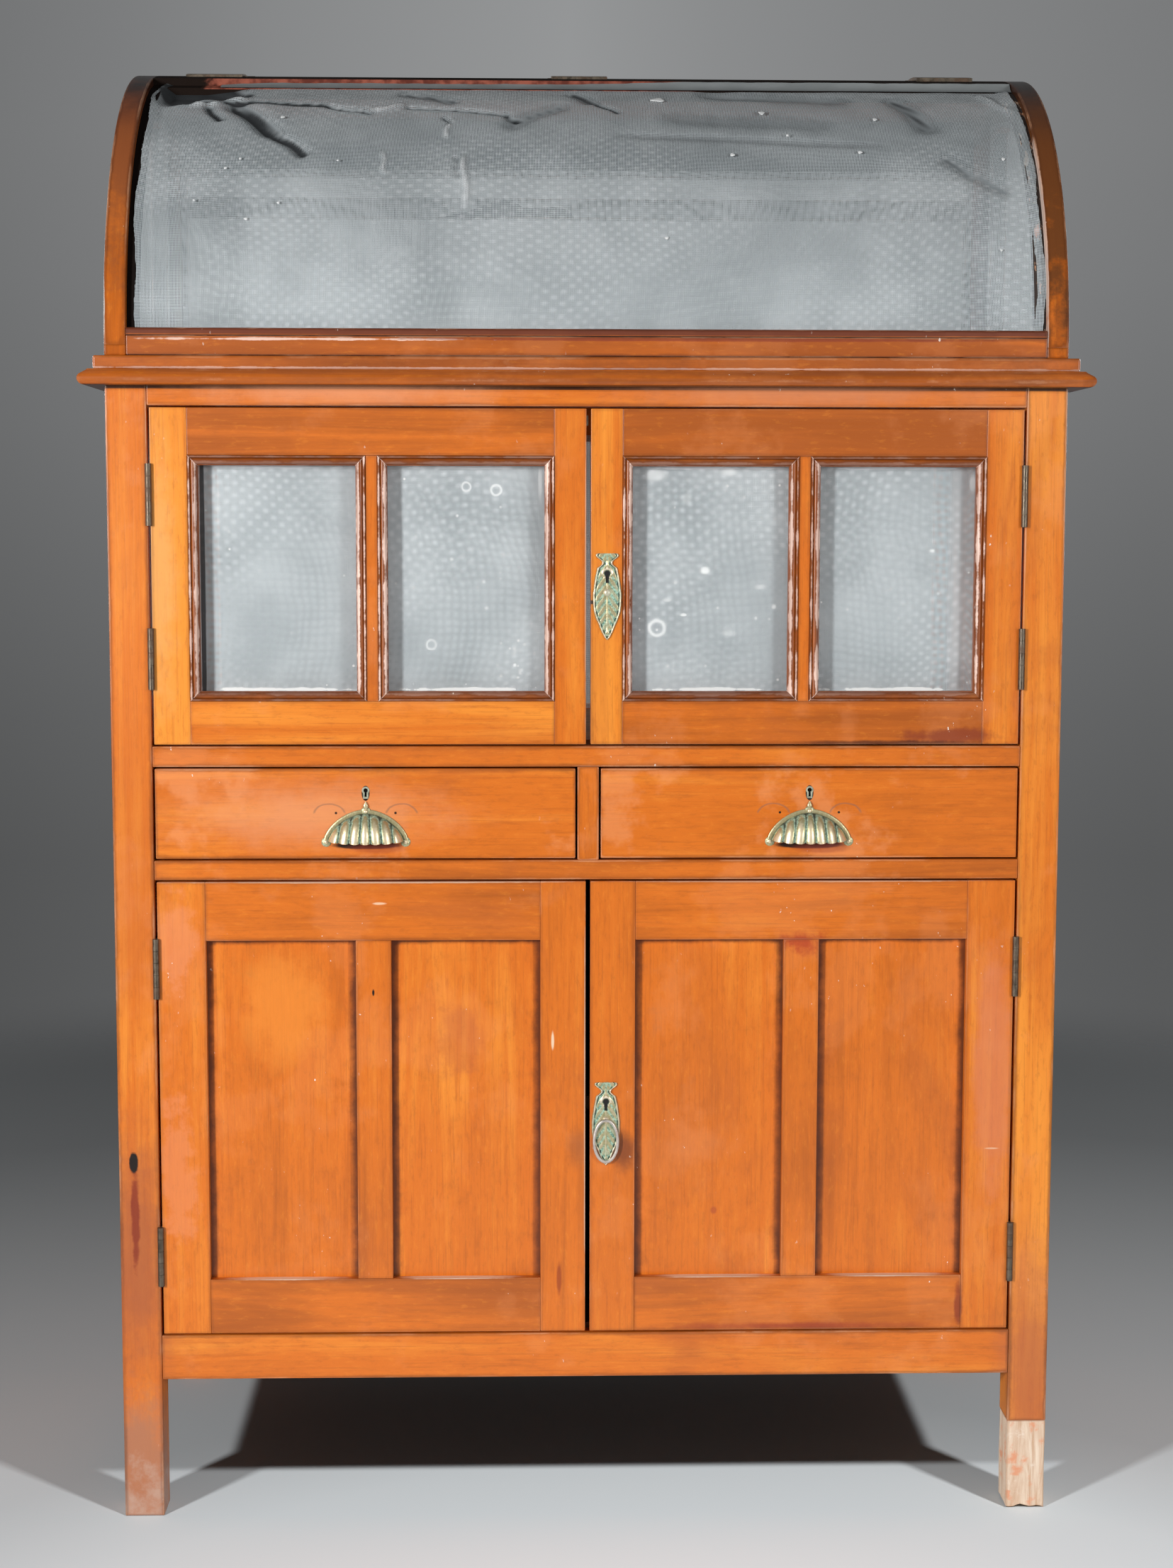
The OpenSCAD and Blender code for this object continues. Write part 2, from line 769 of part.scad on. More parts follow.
module dome_screens() {
    x0 = half_w - end_t - joint_gap;
    rim_r = end_r - end_rim;
    back_face = back_y - dome_back_t - joint_gap;
    color(gauze) {
        both_sides() along_x(x0 - gauze_t, x0) intersection() {
            translate([arc_y, arc_z]) circle(rim_r + gauze_lap, $fn = 180);
            translate([arc_y - rim_r - gauze_lap, dome_z + end_sill - gauze_lap])
                square([back_y - end_stile - arc_y + rim_r + 2 * gauze_lap, dome_r]);
        }
        block([-x0 + gauze_t + joint_gap, back_face - gauze_t, dome_z + dome_sill_h - gauze_lap],
              [x0 - gauze_t - joint_gap, back_face, arc_z + end_r - dome_head_h + gauze_lap]);
    }
}

module dome_top() {
    color(wood) difference() {
        block([-half_w, arc_y + run_gap / 2, arc_z + end_r + lid_play], [half_w, back_y, apex_z]);
        at_lid_hinges() hinge_room();
    }
}

module fixed_hinge_leaves() {
    color(steel) {
        both_sides() at_left_hinges(door_hinge_list) fixed_leaf();
        at_lid_hinges() fixed_leaf();
    }
}

// Lid: a sector of a ring between two angles measured up from the front
module band(r_in, r_out, from, to) {
    reach = 2 * r_out;
    intersection() {
        difference() {
            circle(r_out, $fn = 180);
            circle(r_in, $fn = 180);
        }
        polygon([[0, 0], for (a = [from, (from + to) / 2, to]) reach * [-cos(a), sin(a)]]);
    }
}

// The rib's side view, from the seat up to the hinge line
module rib_side(r_in, r_out, end_y) {
    translate([arc_y, arc_z]) intersection() {
        difference() {
            circle(r_out, $fn = 180);
            circle(r_in, $fn = 180);
        }
        translate([-r_out, 0]) square([r_out + end_y, r_out]);
    }
    translate([arc_y - r_out, dome_z + lid_play]) square([r_out - r_in, lid_seat - lid_play]);
}

module lid_ribs() {
    lid_r = dome_r - gauze_drop - gauze_t - joint_gap;
    color(wood) both_sides() difference() {
        union() {
            along_x(lid_in_x, half_w) rib_side(dome_r - rib_t, dome_r, -run_gap / 2);
            along_x(lid_in_x - ledge_w, lid_in_x + cut) translate([arc_y, arc_z])
                band(dome_r - rib_t, lid_r, lid_foot_angle,
                     90 - top_rail_angle - top_ledge_angle - seam_angle);
        }
        along_x(lid_in_x - ledge_w - cut, lid_in_x) translate([arc_y - dome_r - cut, dome_z])
            square([rib_t + 2 * cut, lid_rail_h + joint_gap]);
    }
}

lid_foot_angle = asin((lid_rail_h - lid_seat + joint_gap) / (dome_r - gauze_drop));

module lid_bottom_rail() {
    x1 = lid_in_x - joint_gap;
    color(wood) {
        along_x(-x1, x1) {
            translate([front_y, dome_z + lid_play]) square([rib_t, lid_rail_h - lid_play]);
            translate([front_y, dome_z + lid_rail_h - cut]) square([bead_t, bead_h / 2 + cut]);
            translate([front_y + bead_t / 2, dome_z + lid_rail_h + bead_h - bead_t / 2])
                circle(bead_t / 2);
            translate([front_y, dome_z + lid_rail_h]) square([bead_t, bead_h - bead_t / 2]);
        }
    }
}

module lid_top_rail() {
    x1 = lid_in_x - joint_gap;
    lid_r = dome_r - gauze_drop - gauze_t - joint_gap;
    low = 90 - top_rail_angle;
    color(wood) difference() {
        along_x(-x1, x1) translate([arc_y, arc_z]) intersection() {
            union() {
                band(dome_r - rib_t, dome_r, low, 90 + top_ledge_angle);
                band(dome_r - rib_t, lid_r, low - top_ledge_angle, low + top_ledge_angle);
            }
            translate([-dome_r, 0]) square([dome_r - run_gap / 2, dome_r]);
        }
        at_lid_hinges() hinge_room();
    }
}

module lid_screen() {
    x1 = lid_in_x - ledge_w / 2 - cut;
    r = dome_r - gauze_drop;
    color(gauze) along_x(-x1, x1) translate([arc_y, arc_z])
        band(r - gauze_t, r, lid_foot_angle + seam_angle, 90 - top_rail_angle - seam_angle);
}

module lid_hinge_leaves() {
    color(steel) at_lid_hinges() moving_leaf();
}

// Doors are drawn as the left ones: the hinge edge at x = 0 and the face at y = 0
module at_left_door(z) {
    translate([-way_x + hinge_gap, front_y, z]) children();
}

module at_right_door(z) {
    mirror([1, 0, 0]) at_left_door(z) children();
}

module rail_tenons(x0, x1, z0, h, grow) {
    tenon_x(x0, -1, 0, z0, door_t, h, grow);
    tenon_x(x1, 1, 0, z0, door_t, h, grow);
}

// Stiles, two rails and a muntin, each a separate board with its tenons
module door_boards(h, stile_a, stile_b, top, bottom, muntin) {
    g = joint_gap;
    mid = (stile_a + door_w - stile_b - muntin) / 2;
    difference() {
        union() {
            block([0, 0, 0], [stile_a, door_t, h]);
            block([door_w - stile_b, 0, 0], [door_w, door_t, h]);
        }
        rail_tenons(stile_a, door_w - stile_b, 0, bottom, g);
        rail_tenons(stile_a, door_w - stile_b, h - top, top, g);
    }
    difference() {
        union() {
            block([stile_a + g, 0, 0], [door_w - stile_b - g, door_t, bottom]);
            block([stile_a + g, 0, h - top], [door_w - stile_b - g, door_t, h]);
            rail_tenons(stile_a, door_w - stile_b, 0, bottom, 0);
            rail_tenons(stile_a, door_w - stile_b, h - top, top, 0);
        }
        tenon_z(h - top, 1, mid, 0, muntin, door_t, g);
        tenon_z(bottom, -1, mid, 0, muntin, door_t, g);
    }
    block([mid, 0, bottom + g], [mid + muntin, door_t, h - top - g]);
    tenon_z(h - top, 1, mid, 0, muntin, door_t, 0);
    tenon_z(bottom, -1, mid, 0, muntin, door_t, 0);
}

// Hinge room of one door, in the door's own place
module own_hinge_rooms(heights) {
    for (z = heights) translate([-hinge_gap / 2, -knuckle_out, z]) hinge_room();
}

upper_own_hinges = [upper_hinge_low, upper_door_h - upper_hinge_high];
lower_own_hinges = [lower_hinge_low, lower_door_h - lower_hinge_high];

module upper_door_boards() {
    difference() {
        door_boards(upper_door_h, upper_hinge_stile, upper_meeting_stile, upper_top_rail,
                    upper_bottom_rail, upper_muntin);
        own_hinge_rooms(upper_own_hinges);
    }
}

// Left edge of each pane and the width of one
upper_pane_w = (door_w - upper_hinge_stile - upper_meeting_stile - upper_muntin) / 2;
upper_pane_h = upper_door_h - upper_top_rail - upper_bottom_rail;
lower_pane_w = (door_w - lower_hinge_stile - lower_meeting_stile - lower_muntin) / 2;
lower_pane_h = lower_door_h - lower_top_rail - lower_bottom_rail;

// One mitred moulding along X, its outer edge on z = 0 and its inner edge above
bead_step = 1;

module bead_strip(l) {
    deep = bead_proud + bead_depth;
    r = bead_w / 3;
    intersection() {
        along_x(0, l) {
            translate([0, joint_gap]) square([bead_depth, bead_w - joint_gap]);
            translate([-bead_proud, joint_gap]) square([deep, bead_w / 4]);
            translate([r - bead_proud, bead_w - r - bead_step]) circle(r);
        }
        translate([0, bead_depth + cut, 0]) rotate([90, 0, 0]) linear_extrude(deep + 2 * cut)
            polygon([[joint_gap, 0], [l - joint_gap, 0], [l - bead_w - joint_gap, bead_w],
                     [bead_w + joint_gap, bead_w]]);
    }
}

module pane_beads(w, h) {
    bead_strip(w);
    translate([w, 0, 0]) rotate([0, -90, 0]) bead_strip(h);
    translate([w, 0, h]) rotate([0, 180, 0]) bead_strip(w);
    translate([0, 0, h]) rotate([0, 90, 0]) bead_strip(h);
}

module upper_door_beads() {
    for (i = [0, 1])
        translate([upper_hinge_stile + i * (upper_pane_w + upper_muntin), 0, upper_bottom_rail])
            pane_beads(upper_pane_w, upper_pane_h);
}

module upper_door_gauze() {
    y0 = door_t + joint_gap;
    block([upper_hinge_stile - gauze_lap, y0, upper_bottom_rail - gauze_lap],
          [door_w - upper_meeting_stile + gauze_lap, y0 + gauze_t,
           upper_door_h - upper_top_rail + gauze_lap]);
}

module lower_panel_solids(grow = 0) {
    for (i = [0, 1]) {
        x0 = lower_hinge_stile + i * (lower_pane_w + lower_muntin);
        block([x0 - tongue - grow, panel_recess - grow, lower_bottom_rail - tongue - grow],
              [x0 + lower_pane_w + tongue + grow, panel_recess + panel_t + grow,
               lower_bottom_rail + lower_pane_h + tongue + grow]);
    }
}

module lower_door_boards() {
    difference() {
        door_boards(lower_door_h, lower_hinge_stile, lower_meeting_stile, lower_top_rail,
                    lower_bottom_rail, lower_muntin);
        lower_panel_solids(joint_gap);
        own_hinge_rooms(lower_own_hinges);
    }
}

// A keyhole's outline, its round at the origin and its slot below
module key_outline(grow) {
    circle(key_r + grow);
    translate([-key_slot_w / 2 - grow, -key_slot_l - grow])
        square([key_slot_w + 2 * grow, key_slot_l + grow]);
}

// The keyhole through a right door, drawn in the left door's place
module door_key_cut(plate_z) {
    translate([door_w - plate_in, 0, plate_z + key_up])
        forward(door_t + cut, door_t + 2 * cut) key_outline(0);
}

// Room for the turn button's screw in the back of a left door
module button_hole(inset, h) {
    translate([door_w - inset, door_t - button_pin_l, h - button_down])
        rotate([-90, 0, 0]) cylinder(r = button_pin_r + pin_fit, h = button_pin_l + cut);
}

module upper_left_door_frame() {
    color(wood) at_left_door(upper_door_z) difference() {
        upper_door_boards();
        button_hole(upper_button_in, upper_door_h);
    }
}

module upper_right_door_frame() {
    color(wood) at_right_door(upper_door_z) difference() {
        upper_door_boards();
        door_key_cut(upper_plate_z);
    }
}

module upper_left_door_beads() {
    color(wood) at_left_door(upper_door_z) upper_door_beads();
}

module upper_right_door_beads() {
    color(wood) at_right_door(upper_door_z) upper_door_beads();
}

module upper_left_door_screen() {
    color(gauze) at_left_door(upper_door_z) upper_door_gauze();
}

module upper_right_door_screen() {
    color(gauze) at_right_door(upper_door_z) upper_door_gauze();
}

module lower_left_door_frame() {
    color(wood) at_left_door(lower_door_z) difference() {
        lower_door_boards();
        button_hole(lower_button_in, lower_door_h);
    }
}

module lower_right_door_frame() {
    color(wood) at_right_door(lower_door_z) difference() {
        lower_door_boards();
        door_key_cut(lower_plate_z);
    }
}

module lower_left_door_panels() {
    color(panel_wood) at_left_door(lower_door_z) lower_panel_solids();
}

module lower_right_door_panels() {
    color(panel_wood) at_right_door(lower_door_z) lower_panel_solids();
}

module door_leaves(door_z, heights) {
    for (z = heights) translate([-hinge_x, hinge_y, door_z + z]) moving_leaf();
}

module upper_left_hinge_leaves() {
    color(steel) door_leaves(upper_door_z, upper_own_hinges);
}

module upper_right_hinge_leaves() {
    color(steel) mirror([1, 0, 0]) door_leaves(upper_door_z, upper_own_hinges);
}

module lower_left_hinge_leaves() {
    color(steel) door_leaves(lower_door_z, lower_own_hinges);
}

module lower_right_hinge_leaves() {
    color(steel) mirror([1, 0, 0]) door_leaves(lower_door_z, lower_own_hinges);
}

// Key plates stand on the middle of the plate's back
plate_x = meeting_gap / 2 + plate_in;
ring_y = plate_t + run_gap + ring_rod_r;
lug_w = 6.6;
lug_wall = 2;
lug_h = 2 * (ring_rod_r + pin_fit + lug_wall);

module at_plate(z) {
    translate([plate_x, front_y, z]) children();
}

module plate_outline() {
    leaf_h = plate_h - crown_h / 2;
    a = plate_w / 2;
    b = leaf_h / 2;
    r = (a * a + b * b) / plate_w;
    translate([0, b - plate_h / 2]) intersection() {
        translate([r - a, 0]) circle(r, $fn = 180);
        translate([a - r, 0]) circle(r, $fn = 180);
    }
    translate([-neck_w / 2, 0]) square([neck_w, plate_h / 2 - crown_h / 2]);
    polygon([[-neck_w / 2, plate_h / 2 - crown_h], [neck_w / 2, plate_h / 2 - crown_h],
             [crown_w / 2, plate_h / 2 - crown_h / 3], [crown_w / 2, plate_h / 2],
             [-crown_w / 2, plate_h / 2], [-crown_w / 2, plate_h / 2 - crown_h / 3]]);
}

module key_plate() {
    difference() {
        union() {
            forward(0, plate_t) plate_outline();
            translate([0, 0, boss_up]) rotate([90, 0, 0])
                cylinder(r = lug_h / 2 + lug_wall, h = plate_t + joint_gap);
            block([-lug_w / 2, -ring_y, boss_up - lug_h / 2], [lug_w / 2, 0, boss_up + lug_h / 2]);
            translate([-lug_w / 2, -ring_y, boss_up]) rotate([0, 90, 0])
                cylinder(r = lug_h / 2, h = lug_w);
        }
        translate([-lug_w / 2 - cut, -ring_y, boss_up]) rotate([0, 90, 0])
            cylinder(r = ring_rod_r + pin_fit, h = lug_w + 2 * cut);
        translate([0, 0, key_up]) forward(cut, plate_t + 2 * cut) key_outline(0);
    }
}

module upper_key_plate() {
    color(brass) at_plate(upper_door_z + upper_plate_z) key_plate();
}

module lower_key_plate() {
    color(brass) at_plate(lower_door_z + lower_plate_z) key_plate();
}

// Drop ring: a straight top in the lug, then an oval of four arcs on each side
ring_a = ring_w / 2 - ring_rod_r;
ring_b = ring_h / 2 - ring_rod_r;
ring_flat = 4;
ring_end_r = 9;

module ring_arc(centre, r, from, to) {
    translate([centre[0], 0, centre[1]]) rotate([90, 0, 0]) rotate([0, 0, from])
        rotate_extrude(angle = to - from) translate([r, 0]) circle(ring_rod_r, $fn = 32);
}

module ring_body() {
    dz = ring_b - ring_end_r;
    off = ring_a - ring_flat;
    side_r = (ring_end_r * ring_end_r - off * off - dz * dz) / (2 * (ring_end_r - off));
    turn = asin(dz / (side_r - ring_end_r));
    in = ring_a - side_r;
    ring_arc([in, 0], side_r, -turn, turn);
    ring_arc([-in, 0], side_r, 180 - turn, 180 + turn);
    ring_arc([ring_flat, dz], ring_end_r, turn, 90);
    ring_arc([-ring_flat, dz], ring_end_r, 90, 180 - turn);
    ring_arc([-ring_flat, -dz], ring_end_r, 180 + turn, 270);
    ring_arc([ring_flat, -dz], ring_end_r, -90, -turn);
    for (z = [-ring_b, ring_b]) translate([-ring_flat, 0, z]) rotate([0, 90, 0])
        cylinder(r = ring_rod_r, h = 2 * ring_flat, $fn = 32);
    for (x = [-1, 1], z = [-1, 1]) {
        translate([x * ring_flat, 0, z * ring_b]) sphere(ring_rod_r + joint_gap, $fn = 32);
        translate([x * (in + side_r * cos(turn)), 0, z * side_r * sin(turn)])
            sphere(ring_rod_r + joint_gap, $fn = 32);
    }
}

module ring_pull() {
    color("slategray") at_plate(lower_door_z + lower_plate_z + boss_up)
        translate([0, -ring_y, -ring_b]) ring_body();
}

// Door locks stand on the edge of the right door, behind it, level with the keyhole
lock_edge = 1.5;
bolt_wall = 1.2;

module at_lock(z) {
    translate([meeting_gap / 2, front_y + door_t, z]) children();
}

module bolt_blank(grow, back) {
    block([lock_edge - (grow > 0 ? cut : 0), bolt_wall - grow, -bolt_h / 2 - grow],
          [lock_edge + bolt_l + back, bolt_wall + bolt_t + grow, bolt_h / 2 + grow]);
}

module lock_case() {
    difference() {
        block([lock_edge, joint_gap, -lock_h / 2], [lock_edge + lock_w, lock_t, lock_h / 2]);
        bolt_blank(bolt_play, bolt_play);
        translate([plate_in, 0, 0]) forward(bolt_wall, bolt_wall + cut) key_outline(0);
    }
}

module upper_lock_case() {
    color(brass) at_lock(upper_door_z + upper_plate_z + key_up) lock_case();
}

module lower_lock_case() {
    color(brass) at_lock(lower_door_z + lower_plate_z + key_up) lock_case();
}

module upper_lock_bolt() {
    color(steel) at_lock(upper_door_z + upper_plate_z + key_up) bolt_blank(0, 0);
}

module lower_lock_bolt() {
    color(steel) at_lock(lower_door_z + lower_plate_z + key_up) bolt_blank(0, 0);
}

// Turn buttons lie level behind the left doors and turn up behind the rail above
module turn_button(inset, h) {
    y0 = rail_t + 2 * run_gap;
    translate([door_w - inset, 0, h - button_down]) {
        block([-button_reach, y0, -button_w / 2], [button_reach, y0 + button_t, button_w / 2]);
        translate([0, door_t - button_pin_l + run_gap, 0]) rotate([-90, 0, 0])
            cylinder(r = button_pin_r, h = y0 - door_t + button_pin_l);
        translate([0, door_t + run_gap, 0]) rotate([-90, 0, 0])
            cylinder(r = 2 * button_pin_r, h = y0 - door_t);
    }
}

module upper_turn_button() {
    color(brass) at_left_door(upper_door_z) turn_button(upper_button_in, upper_door_h);
}

module lower_turn_button() {
    color(brass) at_left_door(lower_door_z) turn_button(lower_button_in, lower_door_h);
}

// Drawers stand on the middle of their opening in X
bolt_drop = 0.5;
rim_proud = 0.5;

module drawer_lock_blank(grow) {
    z1 = drawer_z + drawer_gap + front_h - drawer_lock_top;
    block([-drawer_lock_w / 2 - grow, front_y + front_t - drawer_lock_t - grow, z1 - drawer_lock_h - grow],
          [drawer_lock_w / 2 + grow, front_y + front_t + (grow > 0 ? cut : 0), z1 + grow]);
}

// The bolt, grown by a clearance, with more room below and above
module drawer_bolt_blank(grow, below, above) {
    top = drawer_z + drawer_gap + front_h - bolt_drop;
    y0 = front_y + front_t - drawer_lock_t / 2 - bolt_t / 2;
    block([-bolt_h / 2 - grow, y0 - grow, top - bolt_l - below],
          [bolt_h / 2 + grow, y0 + bolt_t + grow, top + above]);
}

module drawer_front() {
    x1 = drawer_w / 2;
    z0 = drawer_z + drawer_gap;
    key_z = z0 + drawer_key_up;
    difference() {
        block([-x1, front_y, z0], [x1, front_y + front_t, z0 + front_h]);
        drawer_lock_blank(joint_gap);
        drawer_bolt_blank(bolt_play, 0, 2 * cut);
        translate([0, 0, key_z]) forward(front_y + rim_depth, rim_depth + cut)
            key_outline(rim_wall + joint_gap);
        translate([0, 0, key_z]) forward(front_y + front_t, front_t + cut) key_outline(0);
        drawer_bottom_board(joint_gap);
    }
}

module drawer_bottom_board(grow = 0) {
    x1 = drawer_w / 2 - side_t + bottom_groove;
    z0 = drawer_z + bottom_up;
    block([-x1 - grow, front_y + front_t - bottom_groove - grow, z0 - grow],
          [x1 + grow, front_y + front_t + box_l, z0 + drawer_bottom_t + grow]);
}

module drawer_box() {
    x1 = drawer_w / 2;
    y0 = front_y + front_t + joint_gap;
    y1 = front_y + front_t + box_l;
    z0 = drawer_z + runner_play;
    z1 = z0 + drawer_side_h;
    floor_z = drawer_z + bottom_up + drawer_bottom_t;
    difference() {
        union() {
            block([-x1, y0, z0], [-x1 + side_t, y1, z1]);
            block([x1 - side_t, y0, z0], [x1, y1, z1]);
        }
        translate([0, joint_gap, 0]) drawer_bottom_board(joint_gap);
    }
    block([-x1 + side_t + joint_gap, y1 - side_t, floor_z + joint_gap],
          [x1 - side_t - joint_gap, y1 - joint_gap, z1 - side_t]);
    drawer_bottom_board();
}

// Cup pull: the upper half of a dome cut from a hollow ball, on two ears
module cup_pull() {
    ball_r = (pull_h * pull_h + pull_out * pull_out) / (2 * pull_out);
    z0 = drawer_z + drawer_gap + pull_up;
    translate([0, front_y, z0]) {
        intersection() {
            translate([0, ball_r - pull_out, 0]) difference() {
                sphere(ball_r, $fn = 96);
                sphere(ball_r - pull_wall, $fn = 96);
            }
            block([-pull_h, -pull_out, 0], [pull_h, -joint_gap, pull_h]);
        }
        both_sides() block([pull_h - 2 * pull_wall, -pull_wall - joint_gap, 0],
                           [pull_w / 2, -joint_gap, ear_h]);
    }
}

// Lock case let into the back of the front, and the rim of its keyhole
module drawer_lock() {
    difference() {
        drawer_lock_blank(0);
        drawer_bolt_blank(bolt_play, bolt_play, cut + drawer_lock_top);
        translate([0, 0, drawer_z + drawer_gap + drawer_key_up])
            forward(front_y + front_t - drawer_lock_t / 2, drawer_lock_t) key_outline(0);
    }
    translate([0, 0, drawer_z + drawer_gap + drawer_key_up]) difference() {
        forward(front_y + rim_depth - joint_gap, rim_depth + rim_proud) key_outline(rim_wall);
        forward(front_y + rim_depth + cut, rim_depth + 3 * cut) key_outline(0);
    }
}

module left_drawer_front() {
    color(wood) translate([-drawer_x, 0, 0]) drawer_front();
}

module right_drawer_front() {
    color(wood) translate([drawer_x, 0, 0]) drawer_front();
}

module left_drawer_box() {
    color(panel_wood) translate([-drawer_x, 0, 0]) drawer_box();
}

module right_drawer_box() {
    color(panel_wood) translate([drawer_x, 0, 0]) drawer_box();
}

module left_cup_pull() {
    color(brass) translate([-drawer_x, 0, 0]) cup_pull();
}

module right_cup_pull() {
    color(brass) translate([drawer_x, 0, 0]) cup_pull();
}

module left_drawer_lock() {
    color(brass) translate([-drawer_x, 0, 0]) drawer_lock();
}

module right_drawer_lock() {
    color(brass) translate([drawer_x, 0, 0]) drawer_lock();
}

module left_drawer_bolt() {
    color(steel) translate([-drawer_x, 0, 0]) drawer_bolt_blank(0, 0, 0);
}

module right_drawer_bolt() {
    color(steel) translate([drawer_x, 0, 0]) drawer_bolt_blank(0, 0, 0);
}

front_left_post();
front_right_post();
spliced_foot();
rear_posts();
front_rails();
drawer_divider();
side_rails();
side_panels();
back_rails();
back_boards();
carcass_screens();
bottom_board();
waist_board();
lower_shelf();
runners_and_cleats();
cornice_moulding();
top_board();
dome_ends();
dome_back_frame();
dome_screens();
dome_top();
fixed_hinge_leaves();
lid_ribs();
lid_bottom_rail();
lid_top_rail();
lid_screen();
lid_hinge_leaves();
upper_left_door_frame();
upper_left_door_beads();
upper_left_door_screen();
upper_left_hinge_leaves();
upper_right_door_frame();
upper_right_door_beads();
upper_right_door_screen();
upper_right_hinge_leaves();
lower_left_door_frame();
lower_left_door_panels();
lower_left_hinge_leaves();
lower_right_door_frame();
lower_right_door_panels();
lower_right_hinge_leaves();
upper_key_plate();
lower_key_plate();
ring_pull();
upper_lock_case();
lower_lock_case();
upper_lock_bolt();
lower_lock_bolt();
upper_turn_button();
lower_turn_button();
left_drawer_front();
left_drawer_box();
left_cup_pull();
left_drawer_lock();
left_drawer_bolt();
right_drawer_front();
right_drawer_box();
right_cup_pull();
right_drawer_lock();
right_drawer_bolt();
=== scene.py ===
import math
import bpy
import numpy as np
from mathutils import Matrix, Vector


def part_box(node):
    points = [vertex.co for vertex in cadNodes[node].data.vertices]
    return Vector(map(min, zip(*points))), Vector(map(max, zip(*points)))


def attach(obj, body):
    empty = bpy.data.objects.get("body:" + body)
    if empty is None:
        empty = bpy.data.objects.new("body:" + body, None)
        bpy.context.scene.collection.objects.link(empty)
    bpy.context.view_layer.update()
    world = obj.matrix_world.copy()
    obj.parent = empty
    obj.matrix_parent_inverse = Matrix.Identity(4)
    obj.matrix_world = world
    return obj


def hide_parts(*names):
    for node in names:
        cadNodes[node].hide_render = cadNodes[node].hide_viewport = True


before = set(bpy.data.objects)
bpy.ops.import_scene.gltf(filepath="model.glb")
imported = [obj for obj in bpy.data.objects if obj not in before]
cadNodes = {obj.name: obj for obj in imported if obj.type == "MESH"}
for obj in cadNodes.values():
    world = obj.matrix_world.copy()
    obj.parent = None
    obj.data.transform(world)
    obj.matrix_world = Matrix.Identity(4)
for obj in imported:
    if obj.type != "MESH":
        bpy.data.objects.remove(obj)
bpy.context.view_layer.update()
print("stage: frame loaded")

# Everything below is worked out in millimetres and becomes metres when a mesh is made.


def nodeBox(name):
    lo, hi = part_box(name)
    return np.array(lo) * 1000, np.array(hi) * 1000


# ---------- shader helpers: each one adds to the node tree that drawn["tree"] names

drawn = {"tree": None}


class Value:
    # A shader socket that adds, subtracts and multiplies like a number, by one Math node a step
    def __init__(self, socket):
        self.socket = socket

    def __add__(self, other):
        return maths("ADD", self, other)

    def __sub__(self, other):
        return maths("SUBTRACT", self, other)

    def __mul__(self, other):
        return maths("MULTIPLY", self, other)


def plug(socket, value):
    if isinstance(value, Value):
        drawn["tree"].links.new(value.socket, socket)
    elif socket.type == "RGBA":
        socket.default_value = (*value, 1.0)
    else:
        socket.default_value = value


def add(kind, inputs=None, output=0, **settings):
    # one node; inputs maps a socket's name or number to a number, a colour or a Value
    node = drawn["tree"].nodes.new("ShaderNode" + kind)
    for key, value in settings.items():
        setattr(node, key, value)
    for key, value in (inputs or {}).items():
        plug(node.inputs[key], value)
    return Value(node.outputs[output]) if node.outputs else node


def maths(operation, a, b=0.0, clamp=False):
    return add("Math", {0: a, 1: b}, operation=operation, use_clamp=clamp)


def ranged(value, low, high, toLow=0.0, toHigh=1.0, kind="SMOOTHSTEP"):
    return add("MapRange", {"Value": value, "From Min": low, "From Max": high, "To Min": toLow, "To Max": toHigh},
               interpolation_type=kind)


def blendColour(amount, base, top, kind="MIX"):
    return add("Mix", {0: amount, 6: base, 7: top}, 2, data_type="RGBA", blend_type=kind)


def noise(vector, scale, detail=4.0, rough=0.55, distortion=0.0, output="Fac"):
    return add("TexNoise", {"Vector": vector, "Scale": scale, "Detail": detail, "Roughness": rough,
                            "Distortion": distortion}, output)


def stretched(vector, scale, shift=(0.0, 0.0, 0.0)):
    return add("Mapping", {"Vector": vector, "Scale": scale, "Location": shift})


def moved(vector, by, operation="ADD"):
    return add("VectorMath", {0: vector, 1: by}, operation=operation)


def attribute(name, output="Fac"):
    return add("Attribute", output=output, attribute_name=name)


def objectPlace():
    return add("TexCoord", output="Object")


def axisOf(vector, axis):
    return add("SeparateXYZ", {0: vector}, axis)


def distance(vector):
    return add("VectorMath", {0: vector}, "Value", operation="LENGTH")


def spotMask(position, spot, wobble):
    # 1 inside an ellipsoid of the given centre and radii (mm), 0 outside, with a ragged edge
    scale = [1000 / v for v in spot["size"]]
    local = stretched(position, scale, [-v / 1000 * k for v, k in zip(spot["at"], scale)])
    reach = distance(local) + wobble * spot["ragged"]
    if "band" not in spot:
        return ranged(reach, 1.0, 1.0 - spot["soft"], 0.0, spot["much"])
    # only a line along the ellipse, whole or its upper half
    line = ranged(maths("ABSOLUTE", reach - 1.0), spot["band"], 0.0, 0.0, spot["much"])
    return line if spot.get("whole") else line * ranged(axisOf(local, 2), 0.0, 0.3)


def newMaterial(name):
    mat = bpy.data.materials.new(name)
    mat.use_nodes = True
    mat.node_tree.nodes.clear()
    drawn["tree"] = mat.node_tree
    return mat


def finished(mat, colour, rough, height=None, strength=0.3, depth=0.0005, **sockets):
    # sockets are named as in the shader, with _ for a space; height is a bump of the given depth (m)
    inputs = {"Base Color": colour, "Roughness": rough, **{key.replace("_", " "): v for key, v in sockets.items()}}
    if height:
        inputs["Normal"] = add("Bump", {"Height": height, "Strength": strength, "Distance": depth})
    add("OutputMaterial", {0: add("BsdfPrincipled", inputs)})
    return mat


# ---------- stained and varnished wood

